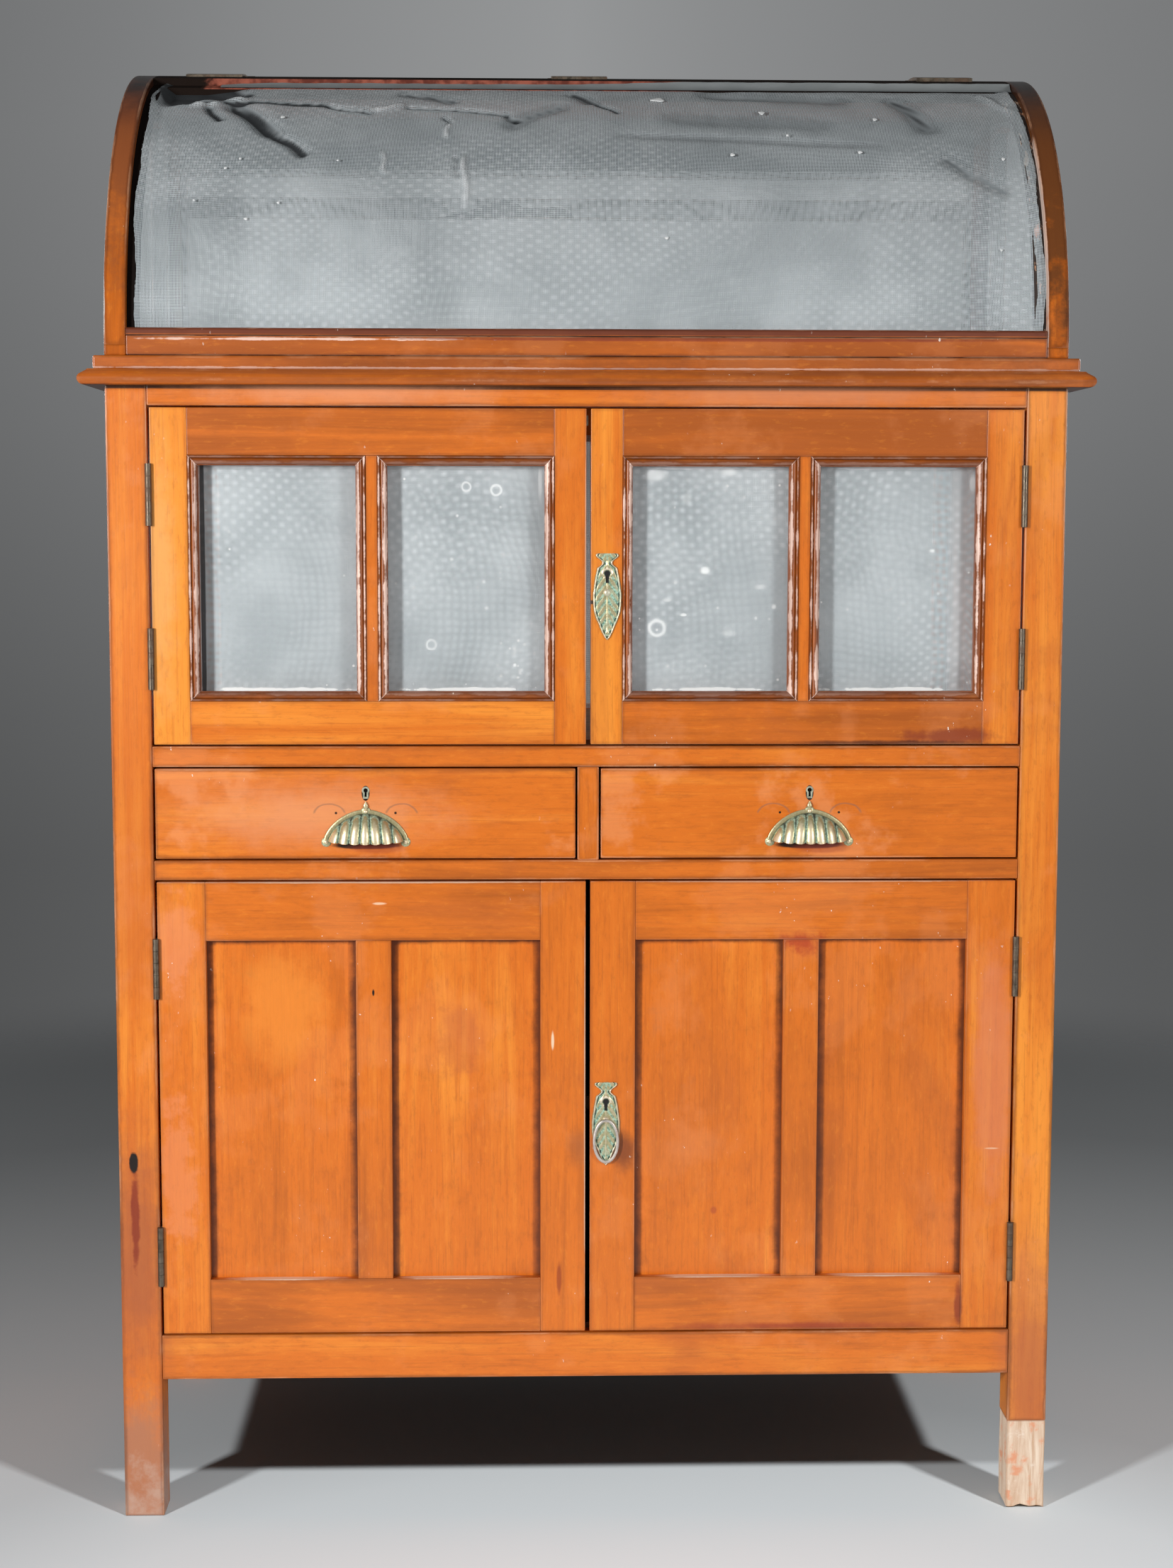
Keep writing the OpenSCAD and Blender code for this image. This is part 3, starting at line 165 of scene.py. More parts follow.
woodLook = {
    "dark": (0.40, 0.092, 0.009), "middle": (0.70, 0.165, 0.012), "light": (0.90, 0.30, 0.032),
    "fleck": (0.90, 0.80, 0.70), "pale": (0.82, 0.29, 0.095), "worn": (0.86, 0.45, 0.25),
    "dirt": (0.05, 0.012, 0.005), "smoke": (0.42, 0.10, 0.02),
    "figure": (1.2, 23, 23), "streak": (3.5, 95, 95), "pore": (12, 430, 430), "mottle": (50, 170, 170),
    "smoky": (3.4, 8, 8), "gloss": 0.28, "chips": 0.9, "contrast": 0.62, "coatRough": 0.16,
}


def stainedWood(name, tint=0.0, haze=0.35, spots=(), rub=0.3, grimeAndShade=(0.5, 0.35), worn=None, highlightTones=None, gloss=0.4):
    # tint shifts the colour from dark to light, haze is the most that scuffed varnish covers, grime the
    # dirt and painted shade near arrises and in corners and its least share, and rub how far arrises go pale,
    # worn on most boards and a painted highlight on the upright beads
    look, mat = woodLook, newMaterial(name)
    position, grain = objectPlace(), attribute("grain", "Vector")
    tone, edge = attribute("tone"), attribute("edge")
    wobble = noise(position, 26, 5, 0.7) - 0.5
    figure = noise(stretched(grain, look["figure"]), 1.0, 6, 0.62, 1.4)
    streak = noise(stretched(grain, look["streak"]), 1.0, 3, 0.5, 0.4)
    pore = noise(stretched(grain, look["pore"]), 1.0, 2)
    cloud = noise(position, 3.3, 3)
    blotch = noise(stretched(position, (1, 1, 1), (3, 1, 7)), 7.5, 5, 0.6)

    # warm colour: the figure along the grain, shifted by the board's own tone and by slow clouds
    level = figure * look["contrast"] + (0.5 - 0.5 * look["contrast"]) + tone * 0.3 + (cloud - 0.5) * 0.5
    level = level + (streak - 0.5) * 0.16 + tint
    colour = blendColour(ranged(level, 0.2, 0.52), look["dark"], look["middle"])
    colour = blendColour(ranged(level, 0.5, 0.8), colour, look["light"])
    colour = blendColour(ranged(pore, 0.52, 0.72, 0.0, 0.3), colour, look["dark"])

    # darker smoky clouds and fine mottling, then hazy scuffed varnish in patches with a crisp edge
    smoke = ranged(noise(stretched(grain, look["smoky"], (5, 2, 9)), 1.0, 5, 0.6, 0.8), 0.52, 0.72, 0.0, 0.42)
    colour = blendColour(smoke, colour, look["smoke"])
    mottle = noise(stretched(grain, look["mottle"]), 1.0, 4, 0.7)
    colour = blendColour(ranged(mottle, 0.50, 0.70, 0.0, 0.3), colour, look["dark"])
    colour = blendColour(ranged(mottle, 0.46, 0.30, 0.0, 0.20), colour, look["light"])
    hazy = ranged(blotch + cloud * 0.35 + wobble * 0.22, 0.70, 0.80, 0.0, haze)
    colour = blendColour(hazy, colour, look["pale"])
    for spot in spots:
        colour = blendColour(spotMask(position, spot, wobble), colour, spot["colour"])

    # dirt and painted shade near arrises and in corners, arrises rubbed pale (on the upright beads a painted
    # highlight), small chips
    reach = edge + wobble * 0.005
    dirt = ranged(reach, 0.0042, 0.0, 0.0, grimeAndShade[0]) * ranged(cloud, 0.35, 0.6, grimeAndShade[1], 1.0)
    colour = blendColour(dirt, colour, look["dirt"])
    rubbedAndHighlight = ranged(reach, 0.0009, 0.0001, 0.0, rub) * ranged(blotch, 0.42, 0.6, max(rub - 0.3, 0.0), 1.0)
    if highlightTones:
        rubbedAndHighlight = rubbedAndHighlight * ranged(tone, *highlightTones)
    colour = blendColour(rubbedAndHighlight, colour, worn or look["worn"])
    fleck = ranged(noise(stretched(position, (1, 1, 0.55)), 210, 2, 0.5), 0.735, 0.765)
    fleck = fleck * ranged(blotch, 0.5, 0.66, 0.0, look["chips"])
    colour = blendColour(fleck, colour, look["fleck"])
    rough = hazy * 0.4 + figure * 0.16 + fleck * 0.3 + look["gloss"]
    return finished(mat, colour, rough, pore * -0.5 + streak * 0.35 + blotch * 0.6, 0.3, 0.0008,
                    Specular_IOR_Level=gloss, Coat_Weight=0.3 * gloss, Coat_Roughness=look["coatRough"])


def innerWood(name, turn):
    # bare wood gone dull, grain along the axis that turn brings to X; painted shade, near black, under the lowest board
    mat, foot = newMaterial(name), nodeBox("bottom_board")[0][2] / 1000
    position = objectPlace()
    grain = add("Mapping", {"Vector": position, "Rotation": turn})
    figure = noise(stretched(grain, (1.4, 24, 24)), 1.0, 6, 0.6, 1.2)
    colour = blendColour(ranged(figure, 0.3, 0.7), (0.20, 0.085, 0.035), (0.46, 0.25, 0.12))
    colour = blendColour(ranged(noise(position, 4, 4), 0.45, 0.7, 0, 0.5), colour, (0.14, 0.07, 0.035))
    # painted shade: the lowest board's underside near black
    colour = blendColour(ranged(axisOf(position, 2), foot + 0.0012, foot + 0.0004), colour, (0.022, 0.022, 0.022))
    return finished(mat, colour, ranged(figure, 0.2, 0.8, 0.62, 0.85), figure, 0.25)


def rawWood(name, torn=0.0):
    # sawn pale wood with red stain soaked in; torn adds dark gaps between splinters
    mat = newMaterial(name)
    position, grain, edge = objectPlace(), attribute("grain", "Vector"), attribute("edge")
    figure = noise(stretched(grain, (5, 60, 60)), 1.0, 6, 0.65, 1.5)
    stain = noise(position, 38, 5, 0.6)
    colour = blendColour(ranged(figure, 0.3, 0.72), (0.60, 0.36, 0.22), (0.90, 0.74, 0.58))
    colour = blendColour(ranged(stain, 0.52, 0.66, 0, 0.85), colour, (0.78, 0.30, 0.15))
    colour = blendColour(ranged(stain, 0.42, 0.3, 0, 0.6), colour, (0.95, 0.88, 0.78))
    colour = blendColour(ranged(edge, 0.002, 0.0, 0, 0.5), colour, (0.42, 0.24, 0.14))
    split = ranged(noise(stretched(grain, (40, 160, 160)), 1.0, 4, 0.7), 0.62, 0.56, 0.0, torn)
    if torn:  # splinters show mostly towards the top
        split = maths("MAXIMUM", split, ranged(axisOf(position, 2), 1.70, 1.62) * ranged(stain, 0.62, 0.54))
    colour = blendColour(split, colour, (0.030, 0.018, 0.013))
    return finished(mat, colour, ranged(figure, 0, 1, 0.7, 0.9), figure, 0.6, 0.0015)


def twoTone(name, dark, light, scale, detail, rough, stretch=None, **sockets):
    # plain noise between two colours, in object coordinates or along the grain
    mat = newMaterial(name)
    place = stretched(attribute("grain", "Vector"), stretch) if stretch else objectPlace()
    dust = noise(place, scale, detail)
    even = isinstance(rough, float)
    return finished(mat, blendColour(dust, dark, light), rough if even else ranged(dust, 0, 1, *rough), **sockets)


# ---------- metals and gauze


def agedBrass(name, green, rubbedAndHighlight):
    # edge is the relief (0 hollow, 1 ridge): ridges rubbed pale, also a painted highlight, hollows dark with verdigris
    # between
    mat = newMaterial(name)
    position, relief, dark = objectPlace(), attribute("edge"), attribute("tone")
    patch = noise(position, 150, 5, 0.65, 0.6)
    broad, fine = noise(position, 38, 3), noise(position, 420, 2)
    high = relief + (patch - 0.5) * 0.5
    brass = blendColour(fine, (0.34, 0.28, 0.12), (0.60, 0.54, 0.32))
    brass = blendColour(ranged(high, 0.55, 0.95), brass, rubbedAndHighlight)
    copperGreen = blendColour(ranged(fine, 0.35, 0.65), (0.12, 0.24, 0.18), (0.40, 0.60, 0.47))
    hollow = ranged(high, 0.55, 0.3, 0.0, 0.8)
    much = maths("ADD", hollow, ranged(broad, 0.62 - 0.3 * green, 0.70 - 0.3 * green, 0, green), True)
    colour = blendColour(much, brass, copperGreen)
    colour = blendColour(ranged(high, 0.30, 0.08, 0.0, 0.92), colour, (0.016, 0.020, 0.014))
    colour = blendColour(dark, colour, (0.003, 0.002, 0.002))
    return finished(mat, colour, ranged(much + dark, 0, 1, 0.36, 0.75), patch + fine * 0.4, 0.5,
                    Metallic=ranged(much, 0.0, 1.0, 0.55, 0.05) * ranged(dark, 0, 1, 1, 0))


def hingeSteel(name, bright, dull, rusty=0.6):
    # metal between two greys, with rust in patches; rusty is the most that the rust covers
    mat = newMaterial(name)
    position = objectPlace()
    patch = noise(position, 120, 5, 0.6)
    rust = ranged(noise(position, 46, 4), 0.46, 0.6)
    colour = blendColour(rust * rusty, blendColour(patch, dull, bright), (0.10, 0.045, 0.02))
    return finished(mat, colour, ranged(patch, 0.3, 0.7, 0.32, 0.6), patch, 0.4, 0.0004,
                    Metallic=ranged(rust, 0, 1, 0.9, 0.4))


gauzeLook = {
    "pitch": 1.6, "drift": 0.002, "broad": 0.085, "ripple": (18.5, 14.0), "rippleMuch": 0.45,
    "bright": (0.58, 0.63, 0.65), "dull": (0.46, 0.51, 0.53), "lifted": (0.80, 0.84, 0.85), "dot": (0.84, 0.88, 0.90),
    "white": (0.86, 0.87, 0.86), "soot": (0.010, 0.012, 0.014), "sheenHighlight": (0.9, 0.93, 0.94)}


def wireGauze(name, wire=0.56, cells=60.0, specks=(0.9, 0.12), lift=0.0, clots=0.0, spots=()):
    # woven wire: a ray passes where it meets neither a wire along nor a wire across. The
    # weave's slow beat shows as rows of paler dots; tone above 0 is painted shade in a fold, below 0 a
    # painted highlight; specks are (share of cells without one, radius as a share of a cell)
    look, mat = gauzeLook, newMaterial(name)
    position, weave, tone = objectPlace(), attribute("grain", "Vector"), attribute("tone")

    def wavy(scale, detail, much, middle):
        # the weave's own coordinates, moved by slow noise
        slow = moved(noise(weave, scale, detail, 0.5, 0.0, "Color"), (middle,) * 3, "SUBTRACT")
        return moved(weave, add("VectorMath", {0: slow, 3: much}, operation="SCALE"))

    drifted, beat = wavy(17.0, 2.0, look["drift"], 0.5), wavy(3.6, 1.5, look["broad"], 0.0)
    cover = maths("MAXIMUM", *(maths("LESS_THAN", maths("FRACT", axisOf(drifted, i) * (1000 / look["pitch"])),
                                     wire / look["pitch"]) for i in (0, 1)))
    waves = [maths("SINE", axisOf(beat, i) * (2000 * math.pi / look["ripple"][i])) for i in (0, 1)]
    dust = noise(position, 11, 5, 0.6)
    place = ranged(noise(position, 4.2, 2), 0.40, 0.58) * look["rippleMuch"]
    dots = ranged(waves[0] * waves[1], 0.05, 0.85) * place

    cell = add("TexVoronoi", {"Vector": position, "Scale": cells, "Randomness": 1.0}, "Distance")
    pick = add("SeparateColor", {0: Value(cell.socket.node.outputs["Color"])})
    speck = maths("LESS_THAN", cell, ranged(pick, specks[0], 1.0, 0.0, specks[1], "LINEAR"))
    clot = ranged(noise(position, 70, 5, 0.7) + dust * 0.5, 0.92, 1.0, 0.0, clots)
    white = maths("MAXIMUM", speck, clot)
    colour = blendColour(ranged(dust, 0.35, 0.7), look["dull"], look["bright"])
    for amount, top in ((lift, "lifted"), (dots, "dot"), (white, "white"),
                        (ranged(tone, 0.0, 1.0, 0.0, 0.97, "LINEAR"), "soot"),
                        (ranged(tone, 0.0, -1.0, 0.0, 0.8, "LINEAR"), "sheenHighlight")):
        colour = blendColour(amount, colour, look[top])
    alpha = maths("MAXIMUM", cover, maths("MAXIMUM", white, ranged(tone, 0.15, 0.6, 0.0, 0.95)))
    wobble = noise(position, 40, 4, 0.6) - 0.5
    for spot in spots:
        mask = spotMask(position, spot, wobble)
        colour = blendColour(mask, colour, spot["colour"])
        alpha = maths("MAXIMUM", alpha, mask)
    return finished(mat, colour, ranged(dust, 0.3, 0.7, 0.45, 0.62), Alpha=alpha, Metallic=0.15)


print("stage: materials defined")

# ---------- surfaces as whole arrays

# where a board's skin has points of its own (mm from an end) and how far apart the others are
skin = {"acrossNear": (4.0, 9.0, 14.0, 18.0), "acrossStep": 70, "alongNear": (4.0, 14.0), "alongStep": 60,
        "waves": (61, 23)}


def corners(width, height, r, lines=()):
    # Rounded rectangle, anticlockwise: straight runs with extra points near their ends, and
    # quarter circles between them. away is each point's distance from the nearest corner.
    def run(length):
        near = np.array([d for d in (r, r + 0.5, *skin["acrossNear"]) if d < length / 2 - 0.2])
        count = int(length / skin["acrossStep"]) + 2
        middle = np.linspace(near[-1], length - near[-1], count)[1:-1] if count > 2 else []
        return np.concatenate([near, middle, length - near[::-1]])

    def arc(cx, cy, start):
        turn = np.radians(start + np.array([30.0, 60.0]))
        return np.stack([cx + r * np.cos(turn), cy + r * np.sin(turn)], 1)

    a, b = run(width), run(height)
    d = np.union1d(b, lines)
    sides = [np.stack([a, 0 * a], 1), arc(width - r, r, -90), np.stack([0 * b + width, b], 1),
             arc(width - r, height - r, 0), np.stack([width - a, 0 * a + height], 1),
             arc(r, height - r, 90), np.stack([0 * d, d[::-1]], 1), arc(r, r, 180)]
    fore = np.minimum(a, width - a), [0, 0], np.minimum(b, height - b), [0, 0]
    away = [*fore, *fore[:2], np.minimum(d, height - d)[::-1], [0, 0]]
    return np.concatenate(sides), np.maximum(np.concatenate(away) - r, 0)


def tube(rings, closedPath=False):
    # Quads between neighbouring rings of an (m, k, 3) array, wound so that they face outwards
    m, k = rings.shape[:2]
    i = np.arange(m if closedPath else m - 1)[:, None]
    j = np.arange(k)[None, :]
    below, above, right = i * k, ((i + 1) % m) * k, (j + 1) % k
    quads = np.broadcast_arrays(below + j, below + right, above + right, above + j)
    return np.stack(quads, -1).reshape(-1, 4)


def solidOf(rings, grain, edge, tone, closedPath=False):
    # A closed skin from rings: tube() along them and a fan from each end's middle
    m, k = rings.shape[:2]
    verts, faces = rings.reshape(-1, 3), [tube(rings, closedPath)]
    grain, edge = grain.reshape(-1, 3), np.asarray(edge, float).reshape(-1)
    if not closedPath:
        j = np.arange(k)
        right = (j + 1) % k
        first, last = np.full(k, m * k), np.full(k, m * k + 1)
        end = (m - 1) * k
        faces += [np.stack([first, right, j], 1), np.stack([last, end + j, end + right], 1)]
        verts = np.concatenate([verts, rings[[0, -1]].mean(1)])
        grain = np.concatenate([grain, grain.reshape(m, k, 3)[[0, -1]].mean(1)])
        edge = np.append(edge, [6.0, 6.0])
    return {"verts": verts, "faces": faces, "grain": grain, "edge": edge,
            "tone": np.broadcast_to(tone, (len(verts),)).astype(float)}


def seedShift(seed):
    # Each seed moves the wood's figure to a place of its own
    return seed * np.array([371.0, 53.0, 29.0])


def board(lo, hi, along, tone=0.0, seed=0, r=1.2, ripple=0.12, stations=(), lines=(), shape=None):
    # Box with rounded arrises: a rounded rectangle carried along one axis. At each end the
    # section shrinks as r (1 - sin) while the station moves as r (1 - cos), a quarter turn.
    lo, hi = np.array(lo, float), np.array(hi, float)
    a, b, c = along, (along + 1) % 3, (along + 2) % 3
    size = hi - lo
    section, away = corners(size[b], size[c], r, lines)
    length = size[a]
    turn = np.radians([0.0, 30.0, 60.0])
    near = np.array([d for d in (r, r + 0.5, *skin["alongNear"]) if d < length / 2 - 0.2])
    middle = np.linspace(near[-1], length - near[-1], int(length / skin["alongStep"]) + 2)[1:-1]
    pos = np.concatenate([r * (1 - np.cos(turn)), near, middle, length - near[::-1],
                          length - r * (1 - np.cos(turn[::-1]))])
    inset = np.concatenate([r * (1 - np.sin(turn)), np.zeros(2 * len(near) + len(middle)),
                            r * (1 - np.sin(turn[::-1]))])
    if len(stations):
        pos = np.concatenate([pos, stations])
        inset = np.concatenate([inset, np.zeros(len(stations))])
        order = np.argsort(pos)
        pos, inset = pos[order], inset[order]
    slow, fast = skin["waves"]
    wave = ripple * (0.5 + 0.5 * np.sin(pos / slow + seed)) * (0.6 + 0.4 * np.sin(pos / fast + 2.3 * seed))
    half = np.array([size[b], size[c]]) / 2
    shrink = 1 - np.maximum(inset[:, None] + wave[:, None], 0) / half
    flat = half + (section - half) * shrink[:, None, :]
    rings = np.empty((len(pos), len(section), 3))
    rings[..., a] = (lo[a] + pos)[:, None]
    rings[..., b], rings[..., c] = lo[b] + flat[..., 0], lo[c] + flat[..., 1]
    edge = np.minimum(away[None, :], np.minimum(pos, length - pos)[:, None])
    if shape is not None:
        rings = shape(rings)
    return solidOf(rings, rings[..., [a, b, c]] + seedShift(seed), edge, tone)


def ruled(start, finish, away, tone=0.0, seed=0, axis=0, parts=9):
    # Straight bar between two end loops: each point moves in a straight line from the one
    # loop to the other, so a mitre at either end is just a slanted loop
    t = np.concatenate([[0, 0.004], np.linspace(0.02, 0.98, parts), [0.996, 1]])
    rings = start[None] + (finish - start)[None] * t[:, None, None]
    length = np.linalg.norm(finish.mean(0) - start.mean(0))
    edge = np.minimum(np.asarray(away)[None, :], (np.minimum(t, 1 - t) * length)[:, None])
    order = [axis, (axis + 1) % 3, (axis + 2) % 3]
    return solidOf(rings, rings[..., order] + seedShift(seed), edge, tone)


def swept(section, away, path, side, up, tone=0.0, seed=0, closedPath=False):
    # Section carried along a path: point = path + u side + v up at every station
    rings = path[:, None] + section[None, :, :1] * side[:, None] + section[None, :, 1:] * up[:, None]
    run = np.concatenate([[0], np.cumsum(np.linalg.norm(np.diff(path, axis=0), axis=1))])
    local = np.stack(np.broadcast_arrays(run[:, None], section[None, :, 0], section[None, :, 1]), -1)
    edge = np.broadcast_to(np.asarray(away, float)[None, :], rings.shape[:2])
    if not closedPath:
        edge = np.minimum(edge, np.minimum(run, run[-1] - run)[:, None])
    return solidOf(rings, local + seedShift(seed), edge, tone, closedPath)


def gridFaces(m, k):
    # Point numbers of an (m, k) grid and the quads between them
    index = np.arange(m * k).reshape(m, k)
    quads = np.stack([index[:-1, :-1], index[:-1, 1:], index[1:, 1:], index[1:, :-1]], -1)
    return index, quads.reshape(-1, 4)


def slab(top, thickness, relief=0.0, tone=0.0):
    # Closed skin from an open (m, k, 3) grid: the grid, its copy moved by thickness (a
    # vector), turned over, and a wall along the four sides
    m, k = top.shape[:2]
    under = top + np.asarray(thickness, float)
    index, quads = gridFaces(m, k)
    rim = np.concatenate([index[0, :], index[1:, -1], index[-1, -2::-1], index[-2:0:-1, 0]])
    after = np.roll(rim, -1)
    n = m * k
    wall = np.stack([rim, rim + n, after + n, after], 1)
    verts = np.concatenate([top.reshape(-1, 3), under.reshape(-1, 3)])
    value = np.broadcast_to(relief, (m, k)).reshape(-1)
    shade = np.broadcast_to(tone, (m, k)).reshape(-1)
    return {"verts": verts, "faces": [quads, quads[:, ::-1] + n, wall], "grain": verts.copy(),
            "edge": np.concatenate([value, value]), "tone": np.concatenate([shade, shade])}


def openSheet(grid, weave):
    # One layer of gauze: the grid itself, with the weave's own coordinates along and across
    index, quads = gridFaces(*grid.shape[:2])
    return {"verts": grid.reshape(-1, 3), "faces": [quads], "grain": weave.reshape(-1, 3),
            "edge": np.full(index.size, 10.0), "tone": np.zeros(index.size)}


def flipped(part):
    part["faces"] = [f[:, ::-1] for f in part["faces"]]
    return part


def mirrored(part):
    # The same part on the other side: x changes sign and every face is turned back outwards
    copy = {key: (value if key == "faces" else value.copy()) for key, value in part.items()}
    copy["verts"][:, 0] *= -1
    copy["faces"] = [f[:, ::-1] for f in part["faces"]]
    copy["grain"] = part["grain"] + np.array([811.0, 97.0, 41.0])
    return copy


def makePiece(name, parts, material, body="carcass", node="", sharp=32.0, edgeScale=0.001):
    # Joins parts into one mesh in metres and stores what the materials read from each point:
    # grain (metres along, across, deep), edge (metres from an arris) and tone. The node that it
    # stands for has its name in small letters, unless node says another name or None
    sizes = np.cumsum([0] + [len(p["verts"]) for p in parts])
    verts = np.concatenate([p["verts"] for p in parts]) / 1000
    faces = [f + start for p, start in zip(parts, sizes) for f in p["faces"]]
    loops = np.concatenate([f.reshape(-1) for f in faces])
    counts = np.concatenate([np.full(len(f), f.shape[1]) for f in faces])
    mesh = bpy.data.meshes.new(name)
    mesh.vertices.add(len(verts))
    mesh.vertices.foreach_set("co", verts.astype(np.float32).ravel())
    mesh.loops.add(len(loops))
    mesh.loops.foreach_set("vertex_index", loops.astype(np.int32))
    mesh.polygons.add(len(counts))
    mesh.polygons.foreach_set("loop_start", (np.cumsum(counts) - counts).astype(np.int32))
    mesh.update(calc_edges=True)
    mesh.validate()
    for key, kind, field, scale in (("grain", "FLOAT_VECTOR", "vector", 0.001), ("edge", "FLOAT", "value", edgeScale),
                                    ("tone", "FLOAT", "value", 1.0)):
        values = np.concatenate([p[key] for p in parts]) * scale
        mesh.attributes.new(key, kind, "POINT").data.foreach_set(field, values.astype(np.float32).ravel())
    mesh.shade_smooth()
    if sharp:
        mesh.set_sharp_from_angle(angle=math.radians(sharp))
    mesh.materials.append(material)
    piece = bpy.data.objects.new(name, mesh)
    bpy.context.scene.collection.objects.link(piece)
    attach(piece, body)
    if node is not None:
        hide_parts(node or "".join("_" + c.lower() if c.isupper() else c for c in name))


print("stage: surface functions ready")

# ---------- places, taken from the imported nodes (mm)

postLo, postHi = nodeBox("front_left_post")
frontY, halfW, wayX = postLo[1], -postLo[0], -postHi[0]
topZ, postT = postHi[2], postHi[1] - postLo[1]
backY = nodeBox("rear_posts")[1][1]
railT, sideX, gap = 22.0, 547.0, 0.1
arc = {"y": 106.55, "z": 1440.0, "r": 370.0, "ribT": 22.0, "ribX": 549.0, "ledge": 14.0, "drop": 8.0, "step": 9.0}
lid = {"foot": 1427.3, "railTop": 1452.0, "topAngle": 73.0, "ledgeAngle": 70.0}

# ---------- marks on the varnish, read off the photo as places and sizes

# the second colour, near black, serves holes, joints and stains and the painted shadow under the cornice
deepRed, blackDirtAndShade, scuffed, hazed = (0.20, 0.014, 0.006), (0.012, 0.005, 0.003), (0.42, 0.17, 0.09), (0.82, 0.34, 0.17)
# the first colour, pale, is wear with a painted highlight along the doors' arrises
wornAndLitArris, everywhere = (0.86, 0.62, 0.45), 9000


def mark(x, z, wide, high, colour, ragged=0.8, soft=0.5, much=1.0, y=frontY, deep=60, **more):
    # spot of the given half sizes (mm) whose edge wanders by ragged and fades over soft, both as
    # shares of its size
    return {"at": (x, y, z), "size": (wide, deep, high), "colour": colour, "ragged": ragged, "soft": soft,
            "much": much, **more}


def marks(deep, rows, y=frontY):
    return [mark(*row, deep=deep, y=y) for row in rows]


postMarks = marks(60, [
    (-553, 1150, 60, 330, (0.82, 0.24, 0.05), 0.8, 0.9, 0.3), (-553, 800, 60, 260, (0.60, 0.14, 0.018), 0.8, 0.9, 0.6)])
postMarks += marks(70, [
    (-553, 330, 70, 230, (0.38, 0.10, 0.034), 0.8, 0.9, 0.8), (-553, 40, 70, 150, scuffed, 0.8, 0.6, 0.9)])
postMarks += marks(60, [(-553, 6, 60, 70, (0.60, 0.48, 0.40), 3.4, 1.0, 0.42)])
postMarks += marks(12, [(-556, 380, 6, 75, deepRed, 1.6, 0.5, 0.75), (-557, 450, 6, 15, blackDirtAndShade, 1.0, 0.3)])
# the second mark here is a painted shadow, near black, under the cornice along the frieze rail
postMarks += marks(60, [
    (555, 180, 60, 230, (0.46, 0.12, 0.04), 0.8, 0.9, 0.75), (0, 1390.6, 1500, 2.6, blackDirtAndShade, 0.2, 0.4, 0.92)])
postMarks += marks(40, [
    (-290, 1392, 270, 40, hazed, 0.8, 0.9, 0.65), (250, 1392, 300, 40, (0.66, 0.26, 0.13), 0.8, 0.9, 0.6)])
# two of these, at x 44 and -13 beside the lower key plate, are painted shadows of the drop ring
doorMarks = marks(14, [
    (440, 974, 75, 12, (0.26, 0.045, 0.014), 1.8, 0.7, 0.85), (370, 966, 150, 4, (0.06, 0.016, 0.008), 1.4, 0.8, 0.75),
    (262, 238, 225, 7, (0.30, 0.035, 0.012), 0.9, 0.9, 0.8), (462, 262, 7, 30, deepRed, 1.2, 0.5, 0.7),
    (264, 720, 34, 20, (0.42, 0.035, 0.012), 2.6, 0.8, 0.75), (44, 463, 19, 35, (0.20, 0.05, 0.014), 0.9, 0.75, 0.85),
    (-13, 464, 18, 35, (0.34, 0.09, 0.02), 0.9, 0.85, 0.6), (43, 1136, 4, 3, blackDirtAndShade, 0.4),
    (4, 1136, 3, 3, blackDirtAndShade, 0.4), (-35, 300, 4, 26, deepRed, 0.8, 0.5, 0.6),
    (-43, 600, 2.2, 14, (0.92, 0.72, 0.50), 0.5, 0.5, 0.8), (-254, 770, 11, 2.2, (0.92, 0.62, 0.40), 0.7, 0.5, 0.8),
    (500, 462, 11, 1.6, (0.92, 0.66, 0.42), 0.5, 0.5, 0.8), (-262, 660, 1.8, 5, blackDirtAndShade, 0.5)])
doorMarks += marks(20, [
    (-505, 430, 30, 110, (0.80, 0.26, 0.10), 2.4, 0.5, 0.5), (-500, 720, 30, 70, (0.80, 0.27, 0.11), 2.4, 0.5, 0.5),
    (500, 560, 30, 190, (0.70, 0.22, 0.10), 1.0, 0.5, 0.55)])
doorMarks += marks(14, [(-515, 1165, 30, 215, (0.84, 0.44, 0.15), 1.2, 0.8, 0.5)])
# pale lines along the doors' top and meeting arrises: wear and a painted highlight
doorMarks += marks(8, [(-262, 796.8, 300, 2.4, wornAndLitArris, 0.9, 0.5, 0.75), (262, 796.8, 300, 2, wornAndLitArris, 1.1, 0.5, 0.5)])
doorMarks += marks(4, [(-3.6, 520, 1.2, 275, wornAndLitArris, 1.0, 0.5, 0.6), (-3.6, 1165, 1.1, 200, wornAndLitArris, 1.2, 0.5, 0.5)])
doorMarks += marks(9, [(x, 301.3, 88, 1.7, (0.88, 0.68, 0.52), 0.6, 0.5, 0.85) for x in (-372, -157, 157, 372)],
                   frontY + 5)
panelMarks = marks(30, [
    (-157, 600, 40, 60, (0.55, 0.13, 0.03), 1.4, 0.5, 0.5), (-372, 640, 70, 90, (0.86, 0.27, 0.035), 1.0, 0.5, 0.6),
    (110, 640, 40, 90, (0.80, 0.25, 0.07), 2.2, 0.9, 0.4), (130, 465, 50, 80, (0.80, 0.25, 0.07), 2.2, 0.9, 0.4),
    (157, 383, 5, 6, (0.45, 0.08, 0.02), 0.7, 0.5, 0.7)])
